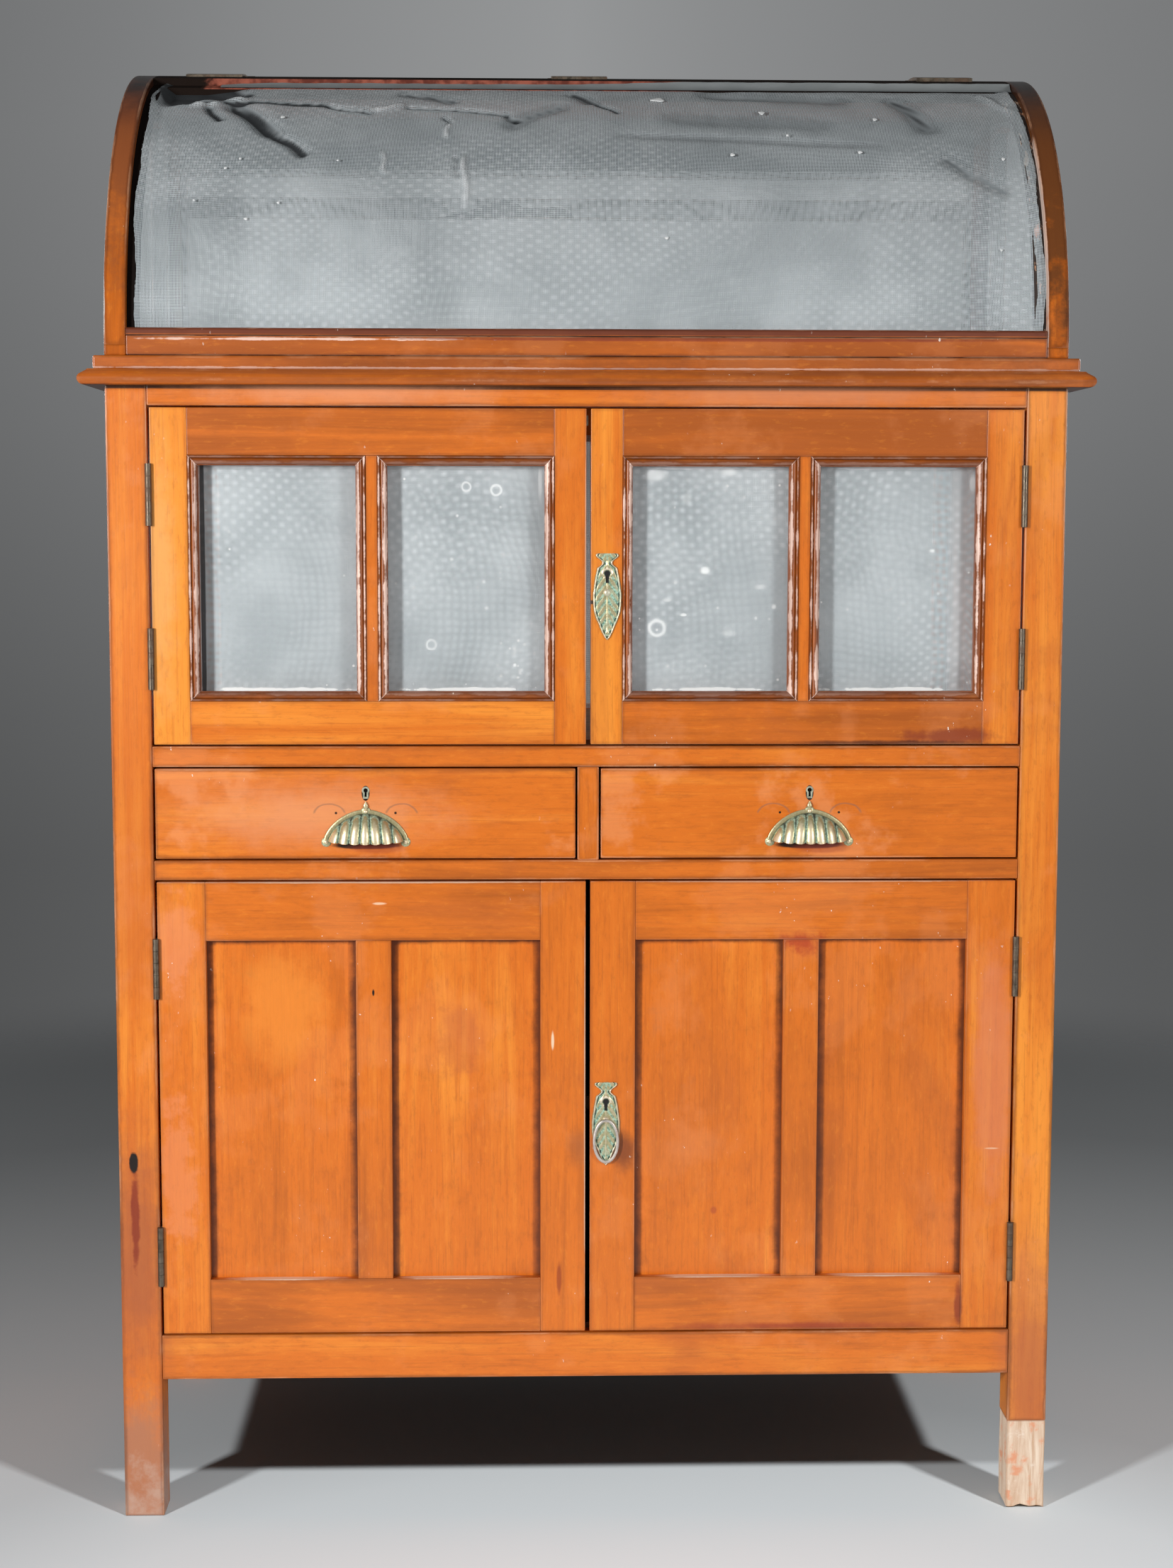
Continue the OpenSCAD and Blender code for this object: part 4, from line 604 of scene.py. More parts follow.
# the first six marks darken the ribs towards their tops as painted shade; the pale splintered strip is the wood's own
ribMarks = marks(3000, [
    (-562, 1740, 60, 300, (0.25, 0.075, 0.026), 1.2, 0.7, 0.9),
    (-562, 1755, 60, 62, (0.13, 0.036, 0.016), 0.6, 0.9, 0.6),
    (-562, 1817, 60, 88, (0.016, 0.010, 0.009), 0.8, 0.7, 0.98),
    (562, 1725, 60, 330, (0.13, 0.045, 0.014), 1.6, 0.5, 0.92),
    (562, 1755, 60, 70, (0.065, 0.024, 0.010), 0.6, 0.9, 0.55),
    (562, 1820, 60, 84, (0.014, 0.009, 0.008), 0.8, 0.7, 0.98),
    (549.4, 1570, 1.8, 160, (0.95, 0.74, 0.64), 1.4, 0.4, 0.85)], 0)
ribMarks += marks(60, [(-575.5, 1482, 2.6, 50, (0.95, 0.87, 0.78), 1.4, 0.4, 0.85)])
railMarks = marks(30, [
    (0, 1457.4, 1500, 5.4, (0.14, 0.030, 0.012), 0.15, 0.3, 0.92), (0, 1451.4, 1500, 1.3, blackDirtAndShade, 0.3, 0.5, 0.9),
    (0, 1428, 1500, 1.5, blackDirtAndShade, 0.3, 0.5, 0.85), (-345, 1447.4, 215, 1.8, (0.94, 0.66, 0.54), 2.6, 0.5, 0.85),
    (150, 1448, 420, 2.6, (0.26, 0.04, 0.016), 1.0, 0.5, 0.75)])
boardMarks = marks(60, [(0, 1412.8, 1500, 1.6, (0.95, 0.62, 0.50), 2.8, 0.5, 0.75)], frontY - 12)
# painted shadow, near black, under the cornice's nose
boardMarks += marks(3000, [(0, 1389.6, 1500, 4, blackDirtAndShade, 0.2, 0.3, 0.9)], 0)
crisp = {"ragged": 0.0, "soft": 0.001}
# painted shade inside the dome: near black on the ends' inner faces and the stiles' fronts, dark grey over the back
# frame
paintedShadeInside = mark(0, 1600, 553.7, everywhere, (0.016, 0.016, 0.017), y=0, deep=everywhere, **crisp)
paintedShadeFace = mark(0, 1600, everywhere, everywhere, (0.016, 0.016, 0.017), y=backY - 155, deep=3.0, **crisp)
paintedShadeFront = mark(0, 1600, everywhere, everywhere, (0.042, 0.039, 0.037), y=backY - 300, deep=298.2, **crisp)

varnish = stainedWood("carcassVarnish", haze=0.2, spots=postMarks)
doorVarnish = stainedWood("doorVarnish", haze=0.15, spots=doorMarks, rub=0.12, grimeAndShade=(0.3, 0.35))
# the panels: strong painted shade of the recess along their upright sides and under the head
panelVarnish = stainedWood("panelVarnish", haze=0.12, spots=panelMarks, rub=0.0, grimeAndShade=(0.88, 0.9))
# the beads: a painted highlight, near white, along the upright bars' round, and painted shade in the quirks
darkVarnish = stainedWood("mouldingVarnish", tint=-0.3, haze=0.1, rub=0.95, grimeAndShade=(0.72, 0.8), worn=(0.97, 0.68, 0.56),
                          highlightTones=(-0.5, 0.1))
lidVarnish = stainedWood("lidVarnish", tint=-0.13, haze=0.14, spots=boardMarks, rub=0.2)
ribVarnish = stainedWood("ribVarnish", tint=-0.13, haze=0.08, spots=ribMarks, rub=0.3, gloss=0.12)
railVarnish = stainedWood("lidRailVarnish", tint=-0.13, haze=0.14, spots=railMarks, rub=0.2)
# darker wood for the dome ends, carrying the painted shade inside the dome
capVarnish = stainedWood("capVarnish", tint=-0.5, haze=0.1, spots=[paintedShadeInside, paintedShadeFace], rub=0.2, grimeAndShade=(0.8, 0.6))
# the dome's back frame: painted shade, dark grey, over all but its rear face
paintedShadeBackWood = stainedWood("paintedShadeBackFrame", tint=-0.2, haze=0.15, spots=[paintedShadeFront], rub=0.2)


def topEdgeWood():
    # The lid's top rail: a ruddy strip low on its lower face and on its rear half, black between
    # them, to the strip's right and within the lid. The limits are heights and places in metres
    mat = newMaterial("lidTopEdge")
    dust = noise(stretched(attribute("grain", "Vector"), (3, 60, 60)), 1.0, 5)
    x, y, z = (axisOf(objectPlace(), i) for i in range(3))
    stepY = (arc["y"] - (arc["r"] - 10.0) * math.cos(math.radians(lid["topAngle"]))) / 1000
    black = ranged(z, 1.7934, 1.7944)
    for limit in (ranged(x + dust * 0.05, -0.442, -0.458), ranged(x, 0.06, 0.16), ranged(z, 1.7786, 1.7776),
                  ranged(y, stepY, stepY + 0.0006)):
        black = maths("MAXIMUM", black, limit)
    black = black * ranged(z, 1.8050, 1.8072, 1.0, 0.0)
    ruddy = blendColour(ranged(dust, 0.35, 0.65), (0.13, 0.035, 0.024), (0.33, 0.10, 0.065))
    return finished(mat, blendColour(black, ruddy, (0.014, 0.009, 0.007)), ranged(dust, 0, 1, 0.7, 0.95),
                    Specular_IOR_Level=0.04)


capWood, rawPine = topEdgeWood(), rawWood("rawSplice")
plainInside = innerWood("insideBoards", (0, 0, 0))
deepInside = innerWood("insideRunners", (0, 0, math.radians(90)))
# both brasses have a pale rubbed colour: worn brass and a painted highlight on the ridges
plateBrass = agedBrass("plateVerdigris", 0.35, (0.86, 0.72, 0.56))
pullBrass = agedBrass("pullBrass", 0.1, (0.84, 0.70, 0.46))
lockBrass = hingeSteel("lockBrass", (0.66, 0.66, 0.52), (0.36, 0.38, 0.28), 0.15)
hingeMetal = hingeSteel("hingeMetal", (0.24, 0.195, 0.145), (0.055, 0.042, 0.032))
boltMetal = hingeSteel("boltMetal", (0.50, 0.49, 0.47), (0.26, 0.25, 0.24))
lidGauze = wireGauze("lidGauze", 0.60, 40.0, (0.97, 0.08))
backGauze = wireGauze("backGauze", 0.56, lift=0.4)

# ---------- carcass


def bothSides(parts):
    # The right-hand parts and the same on the left
    return parts + [mirrored(p) for p in parts]


makePiece("leftFrontPost", [board(postLo, postHi - [0.15, 0, 0], 2, 0.15, 1, r=1.6)], varnish, node="front_left_post")
rightLo, rightHi = nodeBox("front_right_post")
makePiece("rightFrontPost", [board(rightLo + [0.15, 0, 0], rightHi, 2, 0.5, 2, r=1.6)], varnish,
          node="front_right_post")

foot = {"chip": 5.0, "high": 16.0, "lean": 0.3, "stations": (6.0, 9.0, 12.0, 17.0)}


def chipped(rings):
    # The splice's lower end: points move up by a few waves of x and y, so the sawn end is ragged
    x, y, z = rings[..., 0], rings[..., 1], rings[..., 2]
    low = np.clip((foot["high"] - z) / foot["high"], 0, 1)
    lift = 0.45 + 0.55 * np.sin(x / 5.3 + y / 9) * np.sin(x / 11 - 0.8) + 0.25 * np.sin(y / 3.1)
    rings[..., 2] = z + np.maximum(foot["chip"] * low * lift, 0)
    rings[..., 0] = x - foot["lean"] * (1 + np.sin(z / 17 + y / 8))
    return rings


footLo, footHi = nodeBox("spliced_foot")
splice = board(footLo + [0.9, 0.4, 0], footHi - [0.3, 0.4, 0], 2, 0, 3, r=1.0, stations=foot["stations"], shape=chipped)
makePiece("splicedFoot", [splice], rawPine)
makePiece("rearPosts", [board([-halfW, backY - postT, 0], [-wayX, backY, topZ], 2, -0.1, 4, r=1.6),
                        board([wayX, backY - postT, 0], [halfW, backY, topZ], 2, -0.2, 5, r=1.6)], varnish)

# front rails: foot and top of each, its tone and the seed of its figure
fore = ((175, 231, 0.0, 6), (799, 823, -0.3, 7), (1369, 1411, 0.25, 9))
overDrawers = {"z": (937, 962), "tone": -0.25, "seed": 8, "play": 0.5, "travel": 8.6}
inX = wayX - gap
railParts = [board([-inX, frontY, z0], [inX, frontY + railT, z1], 0, tone, seed, r=1.2) for z0, z1, tone, seed in fore]


def pocketedRail():
    # The rail over the drawers has a pocket for each drawer's bolt: a board in front of them, one
    # above and short ones between and behind them
    (z0, z1), play = overDrawers["z"], overDrawers["play"]
    lo, hi = nodeBox("right_drawer_bolt")
    lo, hi = lo - play, hi + [play, play, overDrawers["travel"]]
    behind = frontY + railT
    boxes = [([-inX, frontY, z0], [inX, lo[1], z1], 1.2, 0.12), ([-inX, lo[1], hi[2]], [inX, behind, z1], 0.3, 0.0)]
    for x0, x1, y0 in ((-inX, -hi[0], lo[1]), (-lo[0], lo[0], lo[1]), (hi[0], inX, lo[1]), (-hi[0], -lo[0], hi[1]),
                       (lo[0], hi[0], hi[1])):
        boxes.append(([x0, y0, z0], [x1, behind, hi[2]], 0.3, 0.0))
    return [board(low, high, 0, overDrawers["tone"], overDrawers["seed"], r=r, ripple=ripple)
            for low, high, r, ripple in boxes]


makePiece("frontRails", railParts + pocketedRail(), varnish)
makePiece("drawerDivider", [board([-13, frontY, 823 + gap], [13, frontY + railT, 937 - gap], 2, 0.1, 11)], varnish)

levels = ((175, 231), (930, 975), (1345, 1411))
sideParts = [board([sideX, frontY + postT + gap, z0], [sideX + railT, backY - postT - gap, z1], 1, 0.0, 12 + i)
             for i, (z0, z1) in enumerate(levels)]
sideParts.append(board([sideX, -2.95, 975 + gap], [sideX + railT, 31.05, 1345 - gap], 2, 0.05, 16))
makePiece("sideRails", bothSides(sideParts), varnish)
tongue = 6.5
makePiece("sidePanels", bothSides([board([554, frontY + postT - tongue, 231 - tongue],
                                         [562, backY - postT + tongue, 930 + tongue], 2, 0.1, 17)]), varnish)

rear = {"y": 266.55, "boards": 8, "boardY": (254.45, 266.45), "boardZ": (175, 968), "seam": 0.2, "stileX": (507, 525.9)}
rearRails = [board([-inX, rear["y"], z0], [inX, rear["y"] + railT, z1], 0, -0.15, 18 + i)
             for i, (z0, z1) in enumerate(levels)]
x0, x1 = rear["stileX"]
rearStile = board([x0, rear["y"], 975 + gap], [x1, rear["y"] + railT, 1345 - gap], 2, -0.15, 22)
makePiece("backRails", rearRails + bothSides([rearStile]), varnish)
step = 2 * wayX / rear["boards"]
(y0, y1), (z0, z1), seam = rear["boardY"], rear["boardZ"], rear["seam"]
backParts = [board([-wayX + i * step + seam, y0, z0], [-wayX + (i + 1) * step - seam, y1, z1], 2,
                   0.2 * math.sin(2.3 * i), 24 + i, r=1.5) for i in range(rear["boards"])]
makePiece("backBoards", backParts, stainedWood("backBoardStain", tint=-0.12, haze=0.25))
print("stage: carcass boards")

# ---------- cornice and top board

cornice = {"z": 1392.0, "proj": 28.0, "height": 19.0, "nose": 14.6, "under": 3.0}


def nosing():
    # Moulding seen from its end: a large round nose that leans back to a fillet above it; u runs
    # outwards from the carcass and v upwards, anticlockwise
    c = cornice
    rad = c["nose"] / 2
    turn = np.radians(np.linspace(-90, 62, 11))
    nose = np.stack([c["proj"] - rad + rad * np.cos(turn), rad + rad * np.sin(turn)], 1)
    flat = [[0, 0], [6, 0], [c["proj"] - rad - c["under"], 0]]
    top = [[18.6, 17.4], [17.2, c["height"]], [14, c["height"]], [6, c["height"]], [0, c["height"]]]
    away = np.concatenate([[9, 9, 3], 3.4 - 2.9 * np.cos(turn + 0.2) ** 6, [0.6, 2, 5, 6, 9]])
    return np.concatenate([flat, nose, top]), away


profile, profileAway = nosing()
u, v = profile[:, 0], profile[:, 1] + cornice["z"]
left, right = (np.stack([s * (halfW + u), frontY - gap - u, v], 1) for s in (-1, 1))
back = np.stack([halfW + gap + u, 0 * u + backY, v], 1)
corner = np.stack([halfW + gap + u, frontY - u + gap, v], 1)
frontBar = ruled(left, right, profileAway, 0.0, 40, 0, 40)
sideBar = flipped(ruled(corner, back, profileAway, -0.05, 41, 1, 20))
makePiece("corniceMoulding", [flipped(frontBar), *bothSides([sideBar])], lidVarnish)
makePiece("topBoard", [board(*nodeBox("top_board"), 0, -0.1, 43, r=2.6)], lidVarnish)
print("stage: cornice")

# ---------- fixed part of the dome

dome = {"endR": 347.7, "rim": 36.0, "x": (553.0, 575.0), "foot": 1427.1, "sill": 1467.0, "stile": 155.0,
        "back": 269.55, "half": 552.9, "topZ": (1788, 1809.9)}
thetas = np.radians(np.linspace(0, 90, 46))


def ringSector(x0, x1, r0, r1, angles, tone, seed, r=1.2):
    # Curved board: a rounded rectangle (across, outwards) carried round the lid's quarter circle
    section, away = corners(x1 - x0, r1 - r0, r)
    cos, sin = np.cos(angles), np.sin(angles)
    path = np.stack([0 * angles + x0, arc["y"] - r0 * cos, arc["z"] + r0 * sin], 1)
    outward = np.stack([0 * angles, -cos, sin], 1)
    sideways = np.broadcast_to([1.0, 0.0, 0.0], outward.shape)
    return flipped(swept(section, away, path, sideways, outward, tone, seed))


domeHigh = arc["z"] + dome["endR"]
xa, xb = dome["x"]
endParts = [ringSector(xa, xb, dome["endR"] - dome["rim"], dome["endR"], thetas, -0.2, 50),
            board([xa, arc["y"], domeHigh - dome["rim"]], [xb, backY, domeHigh], 1, -0.2, 51),
            board([xa + 0.2, arc["y"] - dome["endR"], dome["foot"]], [xb - 0.2, backY, dome["sill"]], 1, -0.2, 52),
            board([xa + 0.1, backY - dome["stile"], dome["sill"] - 3], [xb - 0.1, backY, domeHigh - 3], 2, -0.2, 53)]
makePiece("domeEnds", bothSides(endParts), capVarnish)

half = dome["half"]
backFrame = [board([-half, dome["back"], z0], [half, backY, z1], 0, -0.2, 54 + i)
             for i, (z0, z1) in enumerate(((dome["foot"], 1487), (1652.7, 1680.7), (1709.7, 1787.7)))]
backFrame += [board([x, dome["back"] + 0.2, 1486], [x + 10, backY - 0.2, 1711], 2, -0.2, 58)
              for x in (-half, half - 10)]
makePiece("domeBackFrame", backFrame, paintedShadeBackWood)
makePiece("domeTop", [board([-halfW, 107.1, dome["topZ"][0]], [halfW, backY, dome["topZ"][1]], 0, -0.15, 60, r=1.6)],
          lidVarnish)
print("stage: dome")

# ---------- lid

ribX = arc["ribX"]
ribIn, ledgeOut = arc["r"] - arc["ribT"], arc["r"] - arc["step"]
ribAngles = np.radians(np.linspace(0, 89.97, 50))
ribParts = [ringSector(ribX, halfW, ribIn, arc["r"], ribAngles, -0.1, 61, 1.8),
            board([ribX, frontY, lid["foot"]], [halfW, frontY + arc["ribT"], arc["z"] + 0.6], 2, -0.1, 62, r=1.8)]
ledge = ringSector(ribX - arc["ledge"], ribX + 0.5, ribIn, ledgeOut, np.radians(np.linspace(2.0, 69.9, 40)),
                   -0.35, 63, 0.8)
# near black: painted shade of the gap between the left rib and the gauze
paintedShadeLedgeWood = twoTone("paintedShadeLedge", (0.004, 0.003, 0.003), (0.014, 0.009, 0.007), 60, 4, (0.7, 0.95),
                    Specular_IOR_Level=0.04)
makePiece("lidLeftLedge", [mirrored(ledge)], paintedShadeLedgeWood, "lid", None)
makePiece("lidRightLedge", [ledge], rawWood("splinteredLedge", 1.0), "lid", None)
makePiece("lidRibs", bothSides(ribParts), ribVarnish, "lid")

barX = ribX - gap
bead = {"thick": 7.0, "low": 5.5, "r": 3.5}
turn = np.radians(np.linspace(0, 180, 13))
beadU = np.concatenate([[0, bead["thick"]], bead["r"] * (1 + np.cos(turn))])
beadV = np.concatenate([[0, 0], bead["low"] + bead["r"] * np.sin(turn)])
beadLoop = np.stack([0 * beadU, frontY + beadU, lid["railTop"] - 0.4 + beadV], 1)
beadAway = np.concatenate([[6, 6], 2.5 - 2.5 * np.sin(turn)])
beadBar = ruled(beadLoop - [barX, 0, 0], beadLoop + [barX, 0, 0], beadAway, -0.7, 66, 0, 30)
lidRail = board([-barX, frontY, lid["foot"]], [barX, frontY + arc["ribT"], lid["railTop"]], 0, -0.45, 65)
makePiece("lidBottomRail", [lidRail, beadBar], railVarnish, "lid")
capAngles = np.radians(np.linspace(lid["topAngle"], 89.93, 16))
capLedge = np.radians(np.linspace(lid["ledgeAngle"], lid["topAngle"] + 0.5, 5))
makePiece("lidTopRail", [ringSector(-barX, barX, ribIn, arc["r"], capAngles, -0.5, 67),
                         ringSector(-barX, barX, ribIn, ledgeOut, capLedge, -0.6, 68, 0.8)], capWood, "lid")
print("stage: lid frame")

sheet = {"radius": arc["r"] - arc["drop"], "angles": (2.0, 72.9), "reach": 545.0, "rows": 150, "columns": 420,
         "sag": 4.0, "fray": 4.0, "lapX": (-462, 1010)}
# creases of the lid's gauze: from and to (x and way up the sheet, mm), depth, half width, painted shade (below 0 a
# painted highlight)
folds = [
    (-545, 446, -498, 388, 13, 24, 1.3), (-548, 456, -440, 420, 13, 26, 1.6), (-500, 440, -420, 418, 8, 10, 1.3),
    (-500, 384, -417, 389, 5, 6, 1.2), (-417, 389, -321, 376, 4, 5, 1.2), (-321, 376, -265, 359, 9, 5, 1.0),
    (-265, 362, -225, 376, -5, 5, -0.6), (-225, 374, -103, 354, 6, 4, 0.8), (-103, 354, -85, 334, 5, 5, 0.6),
    (-438, 378, -382, 303, 13, 12, 1.0), (-382, 303, -342, 263, 9, 8, 0.95), (-473, 378, -452, 331, 8, 6, 0.95),
    (-490, 372, -425, 396, -6, 5, -0.8), (-176, 347, -166, 325, 5, 3, 0.8), (-166, 337, -174, 299, -4, 3.5, -0.8),
    (-151, 258, -147, 185, -5, 4.5, -0.6), (-160, 262, -156, 225, 3, 4, 0.3), (-249, 268, -246, 230, -3, 3, -0.5),
    (-17, 431, 12, 390, 5, 9, 0.65), (12, 390, 42, 360, 5, 4, 0.85), (-231, 425, -159, 392, 4, 11, 0.5),
    (-99, 320, -26, 383, 4, 13, 0.38), (391, 418, 427, 316, 5, 15, 0.5), (436, 263, 476, 226, 4, 10, 0.4),
    (476, 226, 512, 200, 3, 9, 0.3), (46, 305, 355, 286, 2.5, 7, 0.18), (150, 430, 330, 405, 4, 16, 0.3),
    (100, 350, 300, 330, 3, 18, 0.22), (500, 430, 535, 360, -4, 6, -0.3)]
# drops of paint: x, way up the sheet, half width and half height (mm)
drops = [
    (92, 397, 9, 8), (220, 355, 4, 5), (360, 339, 3, 4), (248, 300, 1.6, 3), (178, 261, 3, 3), (335, 267, 3, 3),
    (94, 134, 2.6, 2), (510, 256, 2.4, 3), (497, 120, 1.6, 2), (-375, 336, 3, 3), (-421, 249, 1.8, 2),
    (-438, 233, 2, 2), (-372, 180, 2, 2), (-410, 157, 2.6, 2), (-473, 183, 1.6, 1.6), (-303, 247, 1.6, 1.6)]


def fractal(x, y, seed, octaves=4):
    # Sum of sine products whose waves halve in length and in strength from one octave to the next
    rng = np.random.default_rng(seed)
    total = np.zeros(np.broadcast(x, y).shape)
    for octave in range(octaves):
        a, b, c, d = rng.uniform(0, 6.28, 4)
        k = 2.0 ** octave
        lean = rng.uniform(-0.6, 0.6, 2)
        total += np.sin(k * (x + lean[0] * y) + a + 0.7 * np.sin(k * y + c)) * np.sin(k * (y + lean[1] * x) + b) / k
    return total


def onLid(x, radius, angle):
    # Points of the lid's arc: y = centre - radius cos, z = centre + radius sin
    return np.stack(np.broadcast_arrays(x, arc["y"] - radius * np.cos(angle), arc["z"] + radius * np.sin(angle)), -1)


def lidWeave(x, height):
    return np.stack([x + 2.0 * np.sin(height / 90), height + 2.5 * np.sin(x / 160), 0 * x + 0 * height], -1)


def lidSheet():
    # Sheet on the arc: angle = height / radius. The radius dips by slow waves (sag) and by creases,
    # each a ridge depth * exp(-(distance / width)^2) that fades towards its two ends
    radius, reach, fray = sheet["radius"], sheet["reach"], sheet["fray"]
    low, high = np.radians(sheet["angles"])
    t = np.linspace(0, 1, sheet["rows"])[:, None]
    s = np.linspace(-1, 1, sheet["columns"])[None, :]
    height = (low + (high - low) * t) * radius
    jag = 0.8 * np.abs(np.sin(height / 3.7 + 2 * np.sin(height / 11)))
    frayLeft = 2 + fray * (0.5 + 0.5 * fractal(height / 37, 0 * height, 3)) + jag + 9 * np.clip(t - 0.86, 0, 1) / 0.14
    frayRight = -4 + fray * (0.5 + 0.6 * fractal(height / 31, 0 * height, 5)) + jag + 9 * np.clip(t - 0.4, 0, 1)
    x = s * (reach - np.where(s < 0, np.clip(frayLeft, 0, 16), np.clip(frayRight, -4, 16)))
    sag = sheet["sag"] * (0.5 + 0.5 * np.tanh(fractal(x / 130, height / 90, 11))) * np.sin(np.pi * t) ** 0.7
    sag = sag * np.clip((1 - np.abs(s)) * 14, 0, 1) + 1.2 * fractal(x / 28, height / 24, 13, 3) * np.clip(t - 0.5, 0, 1)
    dip, soot = np.zeros_like(x), np.zeros_like(x)
    for x0, h0, x1, h1, deep, wide, dark in folds:
        length = math.hypot(x1 - x0, h1 - h0)
        ux, uh = (x1 - x0) / length, (h1 - h0) / length
        along = ((x - x0) * ux + (height - h0) * uh) / length
        off = (height - h0) * ux - (x - x0) * uh + 1.5 * np.sin(along * 7 + x0)
        fade = np.clip(np.minimum(along + 0.08, 1.08 - along) * 6, 0, 1)
        dip += deep * fade * np.exp(-(off / wide) ** 2)
        # painted shade along each crease, a painted highlight where its last number is below 0
        soot += 1.5 * dark * fade * np.exp(-(off / (0.85 * wide)) ** 2) * (1 + 0.25 * np.sin(x / 3.1 + height / 4.3))
    # the sheet's top edge is nailed in a wavy line, its side edges curl a little
    edgeHold = np.clip(t * 20, 0, 1) * np.clip((1 - t) * 9 + 0.25, 0, 1)
    inward = np.clip(sag + dip * 0.8 + 2.0, -3.0, 16.0) * edgeHold
    sides = np.clip((np.abs(s) - 0.972) / 0.028, 0, 1)
    inward = inward * (1 - sides) - sides * (1.3 + 0.9 * np.sin(height / 13 + s) * t)
    part = openSheet(onLid(x, radius - np.clip(inward, -5.5, 14), height / radius), lidWeave(x, height))
    # a painted sheen over the upper part of the sheet, away from the creases
    sheenHighlight = 0.28 * np.clip((t - 0.55) / 0.3, 0, 1) * np.clip(1 - np.abs(soot) * 8, 0, 1)
    part["tone"] = np.clip(soot * (1 - 0.7 * sides) - sheenHighlight, -1, 1).reshape(-1)
    return part


def paintDrops():
    # Small flat ellipses of old paint on the lid's sheet, a millimetre outside it
    turn = np.linspace(0, 2 * math.pi, 15)[:-1]
    radius, parts = sheet["radius"] - 1.2, []
    for x, height, wide, high in drops:
        wobble = 1 + 0.16 * np.sin(3 * turn + x)
        rim = onLid(x + wide * np.cos(turn) * wobble, radius, (height + high * np.sin(turn) * wobble) / radius)
        middle = rim.mean(0, keepdims=True)
        out = np.array([0, -math.cos(height / radius), math.sin(height / radius)])
        rings = np.stack([rim, middle + (rim - middle) * 0.7 + out * 0.5])
        parts.append(solidOf(rings, rings, np.full(rings.shape[:2], 3.0), 0.0))
    return parts


def lapSheet():
    # Upper edge of the sheet, turned up in front of the top rail's lower face: as t goes from 0 to 1 the
    # angle grows evenly and the radius as t squared, up to an edge that rises towards the right
    s = np.linspace(0, 1, 330)[None, :]
    t = np.linspace(0, 1, 24)[:, None]
    start, length = sheet["lapX"]
    x = start + length * s
    rise = np.clip((x + 60) / 230, 0, 1)
    edge = 362.5 + 2.9 * np.clip(s / 0.06, 0, 1) + 4.3 * rise * rise * (3 - 2 * rise)
    edge = np.minimum(edge + 0.35 * fractal(x / 14, 0 * x, 31), arc["r"] - 0.1)
    angle = np.radians(69.9 + 2.97 * t)
    foot = sheet["radius"] + 0.3
    return openSheet(onLid(x, foot + (edge - foot) * t * t, angle), lidWeave(x, angle * sheet["radius"]))


makePiece("lidGauze", [lidSheet()], lidGauze, "lid", "lid_screen", 0)
lapGauze = twoTone("lapGauze", (0.15, 0.165, 0.165), (0.33, 0.35, 0.355), 1.0, 5, 0.95, (14, 40, 40),
                   Specular_IOR_Level=0.03)
makePiece("lidGauzeLap", [lapSheet()], lapGauze, "lid", None, 0)
leafAngles = np.radians(np.linspace(76.5, 88.2, 8))
leafPlates = [ringSector(x - 36, x + 36, arc["r"], outer, leafAngles, 0.0, 69 + i, 0.5)
              for i, (x, outer) in enumerate(((-474, 372.9), (-5, 373.1), (468, 374.6)))]
makePiece("lidHingePlates", leafPlates, hingeMetal, "lid", None)
dropPaint = twoTone("dropPaint", (0.62, 0.64, 0.64), (0.92, 0.93, 0.92), 300, 3, (0.6, 0.9))
makePiece("lidPaintDrops", paintDrops(), dropPaint, "lid", None, 0)


def flatSheet(corner, along, up, seed, bulge=1.5):
    # Flat sheet between two edge vectors, with a slow bulge of a millimetre or two across it
    corner, along, up = (np.array(v, float) for v in (corner, along, up))
    wide, high = np.linalg.norm(along), np.linalg.norm(up)
    u, v = np.meshgrid(np.linspace(0, 1, int(wide / 12) + 2), np.linspace(0, 1, int(high / 12) + 2))
    normal = np.cross(along, up) / (wide * high)
    wave = bulge * fractal(u * wide / 110, v * high / 95, seed, 3) * np.sin(np.pi * u) * np.sin(np.pi * v)
    grid = corner + u[..., None] * along + v[..., None] * up + wave[..., None] * normal
    weave = [u * wide + 1.5 * np.sin(v * high / 70 + seed), v * high + 1.5 * np.sin(u * wide / 80), 0 * u]
    return openSheet(grid, np.stack(weave, -1))


screenZ, screenHigh = 968.5, 385
gauzeParts = [flatSheet([x, frontY + postT + 1, screenZ], [0, backY - frontY - 2 * postT - 2, 0], [0, 0, screenHigh], 7)
              for x in (-546.4, 546.4)]
gauzeParts.append(flatSheet([-525.5, 266.0, screenZ], [1051, 0, 0], [0, 0, screenHigh], 9))
makePiece("carcassGauze", gauzeParts, backGauze, node="carcass_screens", sharp=0)
lap = 9


def endSheet(x):
    # Gauze of a dome end: a level line from the rim's curve back to the stile, at each height
    u, v = np.meshgrid(np.linspace(0, 1, 40), np.linspace(0, 1, 34))
    rimR = dome["endR"] - dome["rim"] + lap
    low, high = dome["sill"] - lap, arc["z"] + rimR
    z = low + (high - low) * v
    y0 = arc["y"] - np.sqrt(np.maximum(rimR ** 2 - np.maximum(z - arc["z"], 0) ** 2, 0))
    y = y0 + (backY - dome["stile"] + lap - y0) * u
    return openSheet(np.stack([x + 0 * z, y, z], -1), np.stack([y, z, 0 * z], -1))


domeSheets = [endSheet(552.4), endSheet(-552.4), flatSheet([-551.5, 269.0, 1478], [1103, 0, 0], [0, 0, 241], 15)]
makePiece("domeGauze", domeSheets, backGauze, node="dome_screens", sharp=0)
print("stage: gauze")

# ---------- doors

